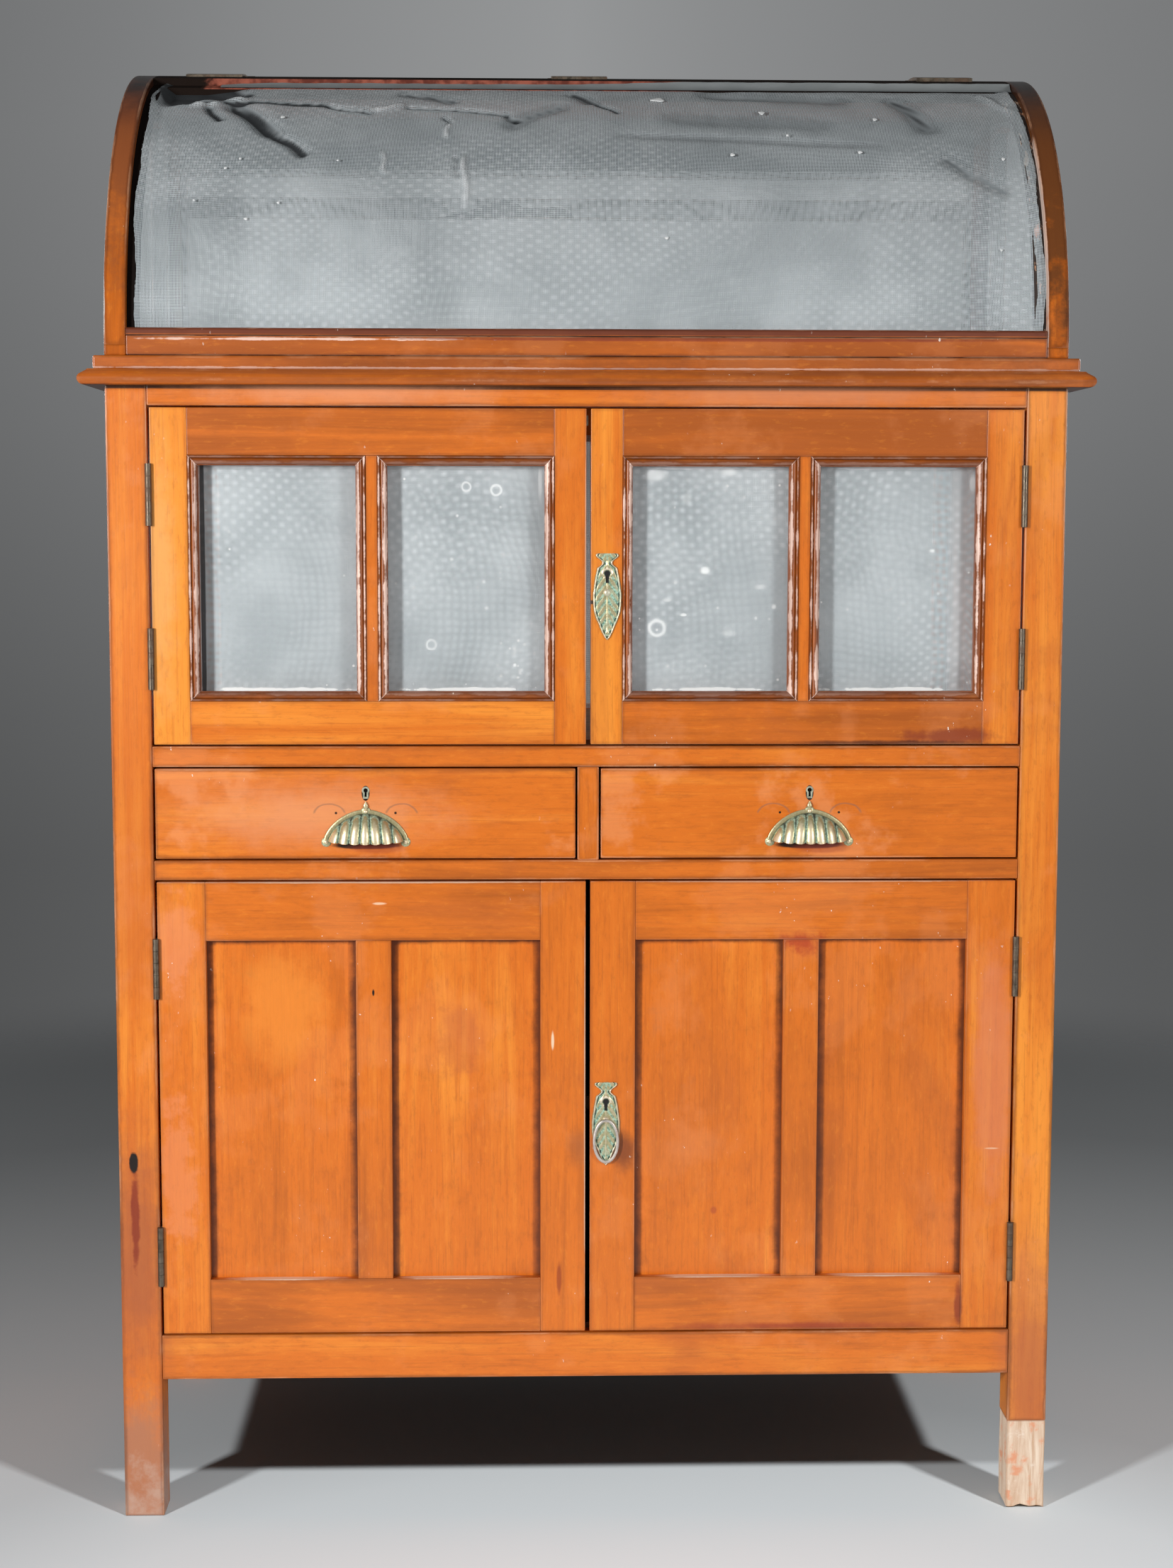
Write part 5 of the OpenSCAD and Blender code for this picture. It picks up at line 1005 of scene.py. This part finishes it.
door = {"edge": wayX - 2, "width": 522.0, "thick": 21.0, "trim": 0.8}
upper = {"z": 963.5, "high": 404.0, "hinge": 45.0, "meeting": 39.0, "top": 57.0, "bottom": 53.0, "muntin": 14.0}
lower = {"z": 232.5, "high": 565.0, "hinge": 59.0, "meeting": 56.0, "top": 73.0, "bottom": 69.0, "muntin": 43.0}
sides = ((-1, "left"), (1, "right"))


def opening(kind):
    # Foot and head of what the frame of a door holds
    return kind["z"] + kind["bottom"], kind["z"] + kind["high"] - kind["top"]


def mirrorX(side, x0, x1):
    # Two places across the left door, from its hinge edge, as X on the side asked for
    return sorted((side * (door["edge"] - x0), side * (door["edge"] - x1)))


def doorFrame(side, kind, tones, seed):
    # Two stiles, two rails and a muntin; tones in that order
    w, trim, stile, muntin = door["width"], door["trim"], kind["hinge"], kind["muntin"]
    z0, z1 = kind["z"] + trim, kind["z"] + kind["high"] - trim
    low, high = opening(kind)
    meeting = w - kind["meeting"]
    mid = (stile + meeting - muntin) / 2
    inner = (stile + gap, meeting - gap)
    spans = ((trim, stile, z0, z1, 2), (meeting, w - trim, z0, z1, 2), (*inner, high, z1, 0), (*inner, z0, low, 0),
             (mid, mid + muntin, low + gap, high - gap, 2))
    parts = []
    for i, (x0, x1, za, zb, way) in enumerate(spans):
        xa, xb = mirrorX(side, x0, x1)
        parts.append(board([xa, frontY, za], [xb, frontY + door["thick"], zb], way, tones[i], seed + i,
                           r=0.7, ripple=0.05))
    return parts


# tones of a door's two stiles, its head, its foot and its muntin
frames = (("upper", "left", (0.95, 0.1, -0.5, 0.35, -0.1)), ("upper", "right", (0.35, 0.65, -0.85, -0.6, 0.0)),
          ("lower", "left", (0.1, -0.05, -0.25, -0.45, -0.05)), ("lower", "right", (0.15, -0.1, -0.2, -0.5, 0.0)))
for i, (level, name, tones) in enumerate(frames):
    frameParts = doorFrame(-1 if name == "left" else 1, upper if level == "upper" else lower, tones, 70 + 10 * i)
    makePiece(f"{level}{name.title()}DoorFrame", frameParts, doorVarnish, f"{level}_{name}_door")


def panes(kind):
    # Start and width of each of a door's two panes from its hinge edge, and their foot and head
    wide = (door["width"] - kind["hinge"] - kind["meeting"] - kind["muntin"]) / 2
    return [(kind["hinge"] + i * (wide + kind["muntin"]), wide, *opening(kind)) for i in (0, 1)]


def doorPanel(side, i, x, wide, low, high):
    # The outer 6 mm sit in the frame's groove; painted shade of the recess darkens the upright sides and the head,
    # least at the foot
    xa, xb = mirrorX(side, x - 6, x + wide + 6)
    part = board([xa, frontY + 10, low - 6], [xb, frontY + 18, high + 6], 2, (0.05 if side < 0 else 0.0) + 0.1 * i,
                 110 + 3 * side + i, ripple=0.25, lines=(6.1, 9.0, 12.0, 16.0))
    px, pz = part["verts"][:, 0], part["verts"][:, 2]
    inFrom = wide / 2 - np.abs(px - (px.min() + px.max()) / 2)
    part["edge"] = np.minimum(np.minimum(inFrom * 0.36 - 0.2, (high - pz) * 0.9 + 0.2), 4.3)
    return part


for side, name in sides:
    parts = [doorPanel(side, i, *pane) for i, pane in enumerate(panes(lower))]
    makePiece(f"lower{name.title()}Panels", parts, panelVarnish, f"lower_{name}_door", f"lower_{name}_door_panels")


def beadSection():
    # Pane moulding: u inwards from the pane's edge, v forwards from the door's face. A flat fillet,
    # a quirk, a round of radius r and a small step; anticlockwise
    turn = np.radians(np.linspace(160, 12, 11))
    roundU, roundV = 7.1 + 3.7 * np.cos(turn), -1.9 + 3.7 * np.sin(turn)
    u = np.concatenate([[0.2, 0.2, 0.7, 2.3, 2.9, 3.2], roundU, [11.0, 11.9, 11.9, 6.0]])
    v = np.concatenate([[-11.5, 1.2, 1.7, 1.7, 1.2, 0.1], roundV, [-2.4, -2.6, -11.5, -11.5]])
    # away is least on the round's crest, where the upright bars take a painted highlight; the quirks' small values
    # darken them as painted shade
    crest = np.array([1.0, 1.2, 2.4, 1.6, 1.0, 0.6, 0.2, 0.0, 0.0, 0.3, 0.5])
    away = np.concatenate([[1.0, 1.0, 0.7, 0.2, 1.0, 1.0], crest, [0.7, 1.0, 2, 2]])
    return u[::-1], v[::-1], away[::-1]


def paneBeads(x0, x1, z0, z1, seed):
    # Four mitred bars: at a corner, the point u in from one side is also u in from the next
    u, v, away = beadSection()
    ring = [np.stack([x, frontY - v, z], 1) for x, z in
            ((x0 + u, z0 + u), (x1 - u, z0 + u), (x1 - u, z1 - u), (x0 + u, z1 - u))]
    # horizontal bars get tone -0.35 and upright ones 0.3, so only the upright bars take the painted highlight
    return [ruled(ring[i], ring[(i + 1) % 4], away, (-0.35, 0.3)[i % 2], seed + i, (0, 2)[i % 2], 12) for i in range(4)]


gauzeMarks = []
for side, name in sides:
    for x, wide, low, high in panes(upper):
        centre, half = side * (door["edge"] - x - wide / 2), wide / 2 - 11
        gauzeMarks += marks(60, [(centre, low + 13.0, half, 2.8, (0.90, 0.92, 0.90), 2.4, 0.3, 0.9),
                                 (centre, high - 13.6, half, 2.2, (0.86, 0.88, 0.92), 2.2, 0.3, 0.55)])
# painted shadow, near black, on the gauze along the first pane's left bead
gauzeMarks.append(mark(14.5 - door["edge"] + upper["hinge"], 1165, 3.6, 320, (0.012, 0.014, 0.017), 0.25, 0.25, 0.9))
# deposits on the gauze: x, z, half width, half height, how much, ring or spot
flakes = [(-147, 1274, 5.0, 5.0, 0.75, 1), (-111, 1270, 5.6, 5.6, 0.8, 1), (-190, 1084, 5.2, 5.2, 0.7, 1),
          (-165, 1187, 2.8, 2.8, 0.8, 0), (-126, 1160, 2.8, 2.8, 0.8, 0), (-123, 1128, 3.0, 2.6, 0.8, 0),
          (-208, 1214, 1.5, 3.4, 0.7, 0), (-89, 1059, 2.6, 2.6, 0.8, 0), (-85, 1044, 2.2, 2.2, 0.7, 0),
          (-77, 1084, 2.4, 2.2, 0.6, 0), (-110, 1059, 2.0, 2.0, 0.6, 0), (-58, 1279, 3, 26, 0.5, 0),
          (81, 1288, 16, 9, 0.5, 0), (119, 1260, 8, 8, 0.3, 0), (170, 1292, 13, 6, 0.5, 0),
          (142, 1174, 7.4, 6, 0.95, 0), (116, 1120, 5, 2.6, 0.9, 0), (84, 1104, 8.4, 8.4, 0.8, 1),
          (96, 1138, 7, 3, 0.6, 0), (171, 1098, 10, 5, 0.45, 0), (226, 1130, 3.6, 3.6, 0.8, 0),
          (204, 1116, 2.8, 2.8, 0.8, 0), (209, 1154, 9, 4, 0.5, 0), (106, 1159, 2.6, 2.4, 0.7, 0),
          (97, 1058, 2.6, 2.4, 0.8, 0), (143, 1058, 2.4, 2.4, 0.7, 0), (418, 1198, 4.6, 2.8, 0.9, 0),
          (426, 1146, 2.4, 2.4, 0.7, 0), (440, 1067, 2.0, 2.0, 0.6, 0), (466, 1280, 5, 14, 0.6, 0)]
for x, z, wide, high, much, ring in flakes:
    band = {"band": 0.42, "whole": True} if ring else {}
    gauzeMarks.append(mark(x, z, 1.15 * wide, 1.15 * high, (0.92, 0.94, 0.93), 0.45, 0.5, much, **band))
doorGauze = wireGauze("doorGauze", 0.80, 95.0, (0.80, 0.16), 0.0, 0.7, gauzeMarks)
for side, name in sides:
    parts = []
    for i, (x, wide, low, high) in enumerate(panes(upper)):
        parts += paneBeads(*mirrorX(side, x, x + wide), low, high, 130 + 10 * i + side)
    makePiece(f"upper{name.title()}Beads", parts, darkVarnish, f"upper_{name}_door", f"upper_{name}_door_beads")
    lo, hi = nodeBox(f"upper_{name}_door_screen")
    paneGauze = flatSheet(lo + [0.5, 0.4, 0.5], [hi[0] - lo[0] - 1, 0, 0], [0, 0, hi[2] - lo[2] - 1], 20 + side, 0.6)
    makePiece(f"upper{name.title()}Gauze", [paneGauze], doorGauze, f"upper_{name}_door", f"upper_{name}_door_screen",
              0)
print("stage: doors")

# ---------- drawers

drawer = {"x": 269.5, "half": 254.1, "z": (825.2, 934.9), "thick": 20.0, "keyZ": 908.5, "keyR": 3.7, "slotHalf": 2.3,
          "slotLow": 9.0, "keyDeep": 8.0}


def keyholeCut(centre):
    # Points of the front inside the keyhole's outline (a circle with a slot below it) are
    # pushed in behind the brass rim
    def shape(rings):
        x, y, z = rings[..., 0] - centre, rings[..., 1], rings[..., 2] - drawer["keyZ"]
        inside = (x ** 2 + z ** 2 < drawer["keyR"] ** 2) | (
            (np.abs(x) < drawer["slotHalf"]) & (z < 0) & (z > -drawer["slotLow"]))
        rings[..., 1] = y + drawer["keyDeep"] * (inside & (y < frontY + 2))
        return rings
    return shape


keyLines = drawer["keyZ"] - drawer["z"][0] + np.arange(-11, 6, 0.5)
keyStations = drawer["half"] + np.arange(-6, 6.1, 0.5)
drawerMarks = marks(30, [(-330, 880, 230, 62, (0.80, 0.34, 0.17), 0.8, 0.9, 0.55)])
for side, name in sides:
    cx = side * drawer["x"]
    for dx in (-36, 36):  # a pull's screw holes and the curved scratches beside it
        drawerMarks += [mark(cx + dx, 881, 2.0, 2.0, blackDirtAndShade, 0.2, deep=6),
                        mark(cx + 1.22 * dx, 879, 19, 13, (0.22, 0.12, 0.08), 0.25, 0.5, 0.55, deep=30, band=0.12)]
    # painted shadow under each pull's lip, near black, and a fainter reddish one below it to the right
    drawerMarks += marks(12, [(cx + 1, 841.5, 48, 5.6, (0.006, 0.003, 0.002), 0.35, 0.3, 0.97),
                              (cx + 16, 838, 44, 9, (0.30, 0.045, 0.02), 0.6, 0.5, 0.5)])
    # painted shade, near black, at the bottom of the keyhole's recess
    drawerMarks.append(mark(cx, 905, 5.2, 10, (0.003, 0.002, 0.002), 0.1, 0.15, y=frontY + 4, deep=40))
drawerVarnish = stainedWood("drawerVarnish", haze=0.45, spots=drawerMarks)
for (side, name), tone in zip(sides, (0.05, 0.12)):
    cx = side * drawer["x"]
    front = board([cx - drawer["half"], frontY, drawer["z"][0]],
                  [cx + drawer["half"], frontY + drawer["thick"], drawer["z"][1]],
                  0, tone, 150 + side, stations=keyStations, lines=keyLines, shape=keyholeCut(cx))
    makePiece(f"{name}DrawerFront", [front], drawerVarnish, f"{name}_drawer")

# ---------- cup pulls

pull = {"foot": 839.5, "half": 45.0, "lip": 47.0, "rise": 47.0, "out": 23.4, "flutes": 7, "wall": 1.5}


def arch(u, foot, rise):
    # Height over the wood at share u of the half width: foot + rise (1 - |u|^2)^0.62
    return foot + rise * (1 - np.abs(u) ** 2.0) ** 0.62


def shellCup():
    # Quarter-ellipse from an arch on the wood out to a lip: depth = out sin, drop = 1 - cos.
    # Flutes fan from the top: each is |sin| across, and deepens towards the lip
    u = np.linspace(-1, 1, 163)[None, :]
    v = np.linspace(0, 1, 26)[:, None]
    turn = v * math.pi / 2
    archX = pull["half"] * np.sign(u) * np.abs(u) ** 1.15
    archZ = arch(u, 8, pull["rise"] - 14)
    ridge = np.abs(np.cos(u * math.pi * pull["flutes"] / 2)) ** 0.6
    lipZ = 8.6 - 3.6 * ridge * (1 - np.abs(u) ** 4) ** 0.5
    deep = pull["out"] * (1 - u ** 2 * 0.98) ** 0.5 - 2.6
    swell = 3.6 * (ridge - 0.7) * np.sin(turn) ** 0.7 * (1 - np.abs(u) ** 6)
    x = archX + (pull["lip"] * u - archX) * (1 - np.cos(turn))
    z = archZ + (lipZ - archZ) * (1 - np.cos(turn)) + 0.5 * swell
    y = -(0.6 + deep * np.sin(turn) + swell)
    top = np.stack([x, np.minimum(y, -0.4), np.maximum(z, 0.2)], -1)
    relief = 0.10 + 0.95 * ridge ** 1.6 * np.sin(turn[::-1]) ** 1.1
    part = slab(top[::-1], [0, pull["wall"] * 0.6, -pull["wall"] * 0.5], relief)
    inner = part["verts"][len(part["verts"]) // 2:]
    inner[:, 0] *= 0.97
    inner[:, 1] = np.minimum(inner[:, 1], -0.15)
    return part


def roundBar(path, radius, closedPath=False, flat=1.0):
    # Round or oval rod along a path in a plane y = const: ring points round each station
    turn = np.linspace(0, 2 * math.pi, 15)[:-1]
    ahead = np.roll(path, -1, 0) - np.roll(path, 1, 0) if closedPath else np.gradient(path, axis=0)
    ahead = ahead / np.linalg.norm(ahead, axis=1, keepdims=True)
    up = np.broadcast_to([0.0, -1.0, 0.0], path.shape)
    section = np.stack([radius * np.cos(turn), radius * flat * np.sin(turn)], 1)
    part = swept(section, np.full(14, 1.0), path, np.cross(ahead, up), up, closedPath=closedPath)
    part["edge"][:] = 0.6
    return flipped(part)


def disc(x, y, z, radius, thick, relief=0.7):
    # Low dome on the wood: rings of a quarter ellipse, base at the given y
    turn = np.radians(np.linspace(0, 84, 7))[:, None]
    around = np.linspace(0, 2 * math.pi, 21)[:-1]
    r = radius * np.cos(turn)
    rings = np.stack([x + r * np.cos(around), y - thick * np.sin(turn) + 0 * around, z + r * np.sin(around)], -1)
    part = solidOf(rings, rings, np.full(rings.shape[:2], relief), 0.0)
    part["edge"][:] = relief
    return flipped(part)


def cupPull(cx):
    # The cup, a band round its arch, a rivet at either ear and one on top, and a finial
    u = np.linspace(-1, 1, 41)
    band = np.stack([49.5 * np.sign(u) * np.abs(u) ** 1.1, 0 * u - 0.9, arch(u, 4.5, pull["rise"] - 8.5)], 1)
    parts = [shellCup(), roundBar(band, 3.0, flat=0.32)]
    for s in (-1, 1):
        parts += [disc(s * 48.0, -0.1, 6.2, 6.0, 1.6, 0.45), disc(s * 48.2, -1.3, 6.2, 2.6, 1.5, 0.95)]
    parts += [disc(0, -0.1, 43.0, 6.4, 2.2, 0.45), disc(0, -1.6, 43.2, 3.0, 2.4, 1.0)]
    t = np.linspace(0, 1, 9)[:, None]  # finial: a rod whose radius swells once and ends in a point
    around = np.linspace(0, 2 * math.pi, 13)[None, :-1]
    radius = 0.5 + 2.6 * np.sin(math.pi * (0.12 + 0.86 * t)) ** 1.5
    x, y, z = radius * np.cos(around), 0.5 * radius * np.sin(around) - 1.6, 45 + 10.5 * t + 0 * around
    rod = np.stack([x, y, z], -1)
    finial = solidOf(rod, rod, np.full(rod.shape[:2], 0.7), 0.0)
    finial["edge"][:] = 0.7
    parts.append(finial)
    for part in parts:
        part["verts"] = part["verts"] + np.array([cx, frontY, pull["foot"]])
    return parts


for side, name in sides:
    makePiece(f"{name}CupPull", cupPull(side * drawer["x"]), pullBrass, f"{name}_drawer",
              sharp=50, edgeScale=1.0)
print("stage: drawers")

# ---------- key plates and drop ring

plate = {"x": 22.5, "half": 52, "z": {"upper": 1142.5, "lower": 495.5}, "key": 28, "boss": 5,
         # height and half width, from the head down
         "outline": [(52, 12.0), (51.2, 13.8), (49.0, 14.2), (46.6, 12.0), (44.5, 8.8), (42, 6.6), (39.5, 6.4),
                     (37.2, 8.5), (34.8, 12), (23.3, 14.6), (11, 16.4), (2.8, 17.4), (-9.5, 17.2), (-17.7, 16.2),
                     (-25.9, 13.6), (-34, 10), (-42.3, 6.8), (-48.8, 3.4), (-52, 0.4)]}


def ridgeAt(value, place, width):
    # A ridge of height 1: exp(-((value - place) / width)^2)
    return np.exp(-((value - place) / width) ** 2)


def keyPlate(centreZ, ringed):
    # Height field over an outline that narrows to a point: a raised rim, a midrib, leaf veins
    # that slant from it, a boss, and a dark keyhole (circle above slot)
    z = np.linspace(-plate["half"], plate["half"], 150)[:, None]
    s = np.linspace(-1, 1, 75)[None, :]
    half = np.interp(z, *zip(*plate["outline"][::-1]))
    x = half * s
    inFrom = half * (1 - np.abs(s))
    rib = ridgeAt(x, 0, 1.1) * (np.abs(z) < 44)
    vein = np.clip(0.5 + 0.9 * np.sin((z * 1.0 + 1.35 * np.abs(x)) * 2 * math.pi / 11.5), 0, 1)
    leaf = vein * np.exp(-((np.abs(x) - 0.5 * half) / (0.36 * half + 0.5)) ** 4)
    boss = ridgeAt(x ** 2 + (z - plate["boss"]) ** 2, 0, 26.0)
    keyR = np.sqrt(x ** 2 + (z - plate["key"]) ** 2)
    key = np.maximum(1 / (1 + np.exp((keyR - 3.7) * 4)), (np.abs(x) < 2.0) * (z < plate["key"]) * (z > 17) * 1.0)
    relief = (0.42 + 0.7 * ridgeAt(inFrom, 1.3, 0.9) + 0.5 * rib + 0.45 * leaf + 0.5 * ridgeAt(keyR, 5.4, 1.1)
              - 0.5 * ridgeAt(inFrom, 3.2, 0.8))
    relief = np.maximum(relief, 1.35 * boss) * (1 - key) + 0.02 * fractal(x / 3, z / 3, 3)
    high = 0.9 + 1.0 * np.clip(relief, 0, 1.4)
    grid = np.stack([plate["x"] + x, frontY - high * np.clip(inFrom / 0.8 + 0.25, 0, 1) - 0.1, centreZ + z + 0 * x], -1)
    under = np.stack([0 * x, frontY - 0.05 - grid[..., 1], 0 * x + 0 * z], -1)
    return [slab(grid[:, ::-1], under[:, ::-1], np.clip(relief / 1.3, 0, 1)[:, ::-1], key[:, ::-1]),
            disc(plate["x"], frontY - 1.4, centreZ + plate["boss"], 4.2, 3.4 if ringed else 2.2, 0.85)]


pinWay = [(0, 3.0, 501.0), (0, 5.5, 500.8), (0.01, 6.6, 500.6)]
ringPin = roundBar(np.array([[plate["x"] + x, frontY - out, z] for x, out, z in pinWay]), 1.6)
for name, extra in (("upper", []), ("lower", [ringPin])):
    makePiece(f"{name}KeyPlate", keyPlate(plate["z"][name], bool(extra)) + extra, plateBrass, f"{name}_right_door",
              sharp=50, edgeScale=1.0)

ring = {"y": -267.75, "z": 474.5, "wide": 14.5, "high": 26, "radius": 1.95}
ringAngles = np.linspace(0, 2 * math.pi, 73)[:-1]
ringPath = np.stack([plate["x"] + ring["wide"] * np.cos(ringAngles), 0 * ringAngles + ring["y"],
                     ring["z"] + ring["high"] * np.sin(ringAngles)], 1)
ringMetal = hingeSteel("ringMetal", (0.80, 0.74, 0.68), (0.50, 0.44, 0.38), 0.25)
makePiece("dropRing", [roundBar(ringPath, ring["radius"], True)], ringMetal, "ring", "ring_pull", 50)
print("stage: key plates")

# ---------- materials of the nodes that stay as they were packed

kept = {
    hingeMetal: ("fixed_hinge_leaves", "lid_hinge_leaves", "upper_left_hinge_leaves", "upper_right_hinge_leaves",
                 "lower_left_hinge_leaves", "lower_right_hinge_leaves"),
    lockBrass: ("upper_lock_case", "lower_lock_case", "left_drawer_lock", "right_drawer_lock", "upper_turn_button",
                "lower_turn_button"),
    boltMetal: ("upper_lock_bolt", "lower_lock_bolt", "left_drawer_bolt", "right_drawer_bolt"),
    plainInside: ("bottom_board", "waist_board", "lower_shelf", "left_drawer_box", "right_drawer_box"),
    deepInside: ("runners_and_cleats",)}
for look, names in kept.items():
    for name in names:
        cadNodes[name].data.materials.clear()
        cadNodes[name].data.materials.append(look)

# ---------- floor, world, lamps and camera

# the backdrop's greys and glow paint in the studio light's fall-off on it
backdrop = {  # sine of the view's height above level: grey seen there
    "greys": [(-0.45, 0.50), (-0.348, 0.30), (-0.297, 0.18), (-0.244, 0.115), (-0.188, 0.102), (-0.132, 0.100),
              (-0.075, 0.118), (-0.017, 0.142), (0.039, 0.166), (0.095, 0.186), (0.149, 0.196), (0.25, 0.19)],
    # how much brighter it is at each sine of the view's turn to the side, as a share of the most
    "glow": [(-0.204, 0.58), (-0.152, 0.67), (-0.095, 0.81), (-0.037, 0.91), (0.020, 1.0), (0.077, 0.86),
             (0.135, 0.77), (0.192, 0.72), (0.25, 0.65)], "glowMost": 1.54,
    # metres from its brightest place: grey of the floor there, a painted pool of light that darkens outwards
    "floor": [(0.0, 0.66), (0.8, 0.56), (1.07, 0.45), (1.3, 0.44), (1.7, 0.40), (2.2, 0.33), (2.7, 0.26)],
    "fade": (2.4, 3.4), "centre": (0.1, -0.9), "ambient": 0.05, "half": 4,
}


def greyRamp(value, pairs, cast=(1.0, 1.02, 1.035)):
    # Straight lines between pairs of a place and a grey, times the cast's three colours
    low, high = pairs[0][0], pairs[-1][0]
    ramp = add("ValToRGB", {0: ranged(value, low, high, kind="LINEAR")})
    stops = ramp.socket.node.color_ramp.elements
    for i, (at, grey) in enumerate(pairs):
        place = (at - low) / (high - low)
        stop = stops[i] if i < 2 else stops.new(place)
        stop.position, stop.color = place, (*(grey * c for c in cast), 1)
    return ramp


world = bpy.data.worlds.new("studioWorld")
bpy.context.scene.world = world
world.use_nodes = True
drawn["tree"] = world.node_tree
drawn["tree"].nodes.clear()
way = add("TexCoord", output="Generated")
upright = greyRamp(axisOf(way, 2), [(at, grey * backdrop["glowMost"]) for at, grey in backdrop["greys"]])
behind = moved(upright, greyRamp(axisOf(way, 0), backdrop["glow"], (1, 1, 1)), "MULTIPLY")
seen = add("Background", {"Color": behind, "Strength": 1.0})
ambient = add("Background", {"Color": (1, 1, 1), "Strength": backdrop["ambient"]})
direct, through, glossy = (add("LightPath", output=f"Is {kind} Ray") for kind in ("Camera", "Transmission", "Glossy"))
add("OutputWorld", {0: add("MixShader", {0: direct + through + glossy, 1: ambient, 2: seen})})

floorMat = newMaterial("studioFloor")
place = objectPlace()
offCentre = distance(moved(place, (*backdrop["centre"], 0.0), "SUBTRACT"))
finished(floorMat, greyRamp(offCentre, backdrop["floor"], (0.97, 1.03, 1.06)), 0.8, Specular_IOR_Level=0.1,
         Alpha=ranged(distance(place), *backdrop["fade"], 1.0, 0.0))


def placed(name, data):
    thing = bpy.data.objects.new(name, data)
    bpy.context.scene.collection.objects.link(thing)
    return thing


def facing(thing, right, up, back):
    # Turns a lamp or a camera so that its own x, y and z lie along these three directions
    thing.rotation_euler = Matrix(np.stack([right, up, back], 1).tolist()).to_euler()


floorMesh = bpy.data.meshes.new("floor")
half = backdrop["half"]
floorMesh.from_pydata([(-half, -half, 0), (half, -half, 0), (half, half, 0), (-half, half, 0)], [], [(0, 1, 2, 3)])
floorMesh.materials.append(floorMat)
floor = placed("floor", floorMesh)

lamps = [  # name, place, aimed at, width, height, watts, what it lights
    ("leftLamp", (-3.1, -3.6, 1.75), (0, 0, 0.95), 0.45, 1.2, 182, "object"),
    ("rightLamp", (3.1, -3.6, 1.75), (0, 0, 0.95), 0.6, 1.2, 80, "object"),
    ("frontLamp", (0.3, -4.4, 2.3), (0, 0, 0.9), 2.6, 1.4, 5, "object"),
    ("backLeftLamp", (-3.2, 3.4, 1.8), (0, 0, 1.0), 1.6, 1.6, 80, "object"),
    ("backRightLamp", (3.2, 3.4, 1.8), (0, 0, 1.0), 1.6, 1.6, 100, "object"),
    ("floorLeftLamp", (-2.6, -3.2, 3.6), (0, -0.3, 0), 0.3, 0.3, 180, "floor"),
    ("floorRightLamp", (2.6, -3.2, 3.6), (0, -0.3, 0), 0.3, 0.3, 215, "floor"),
]
for name, at, aim, wide, high, watts, lit in lamps:
    lampData = bpy.data.lights.new(name, "AREA")
    lampData.shape, lampData.size, lampData.size_y, lampData.energy = "RECTANGLE", wide, high, watts
    lamp = placed(name, lampData)
    lamp.location, lamp.visible_camera = at, False
    back = np.array(at, float) - np.array(aim, float)
    back /= np.linalg.norm(back)
    right = np.cross([0, 0, 1.0], back)
    right /= np.linalg.norm(right)
    facing(lamp, right, np.cross(back, right), back)
    chosen = bpy.data.collections.new(name + "Floor")
    chosen.objects.link(floor)
    lamp.light_linking.receiver_collection = chosen
    chosen.collection_objects[0].light_linking.link_state = "INCLUDE" if lit == "floor" else "EXCLUDE"

view = {"at": (-0.0848, -3.2408, 1.2303), "pitch": 6.024, "yaw": 1.592, "roll": 0.097, "lens": 56.70}
cameraData = bpy.data.cameras.new("camera")
cameraData.lens, cameraData.sensor_width, cameraData.sensor_fit = view["lens"], 36.0, "AUTO"
cameraData.clip_start, cameraData.clip_end = 0.05, 60.0
camera = placed("camera", cameraData)
camera.location = view["at"]
pitch, yaw, roll = (math.radians(view[k]) for k in ("pitch", "yaw", "roll"))
ahead = np.array([math.sin(yaw) * math.cos(pitch), math.cos(yaw) * math.cos(pitch), -math.sin(pitch)])
level = np.array([math.cos(yaw), -math.sin(yaw), 0.0])
right = level * math.cos(roll) + np.cross(level, ahead) * math.sin(roll)
facing(camera, right, np.cross(right, ahead), -ahead)
bpy.context.scene.camera = camera
bpy.context.scene.view_settings.view_transform = "Standard"
print("stage: lamps and camera")
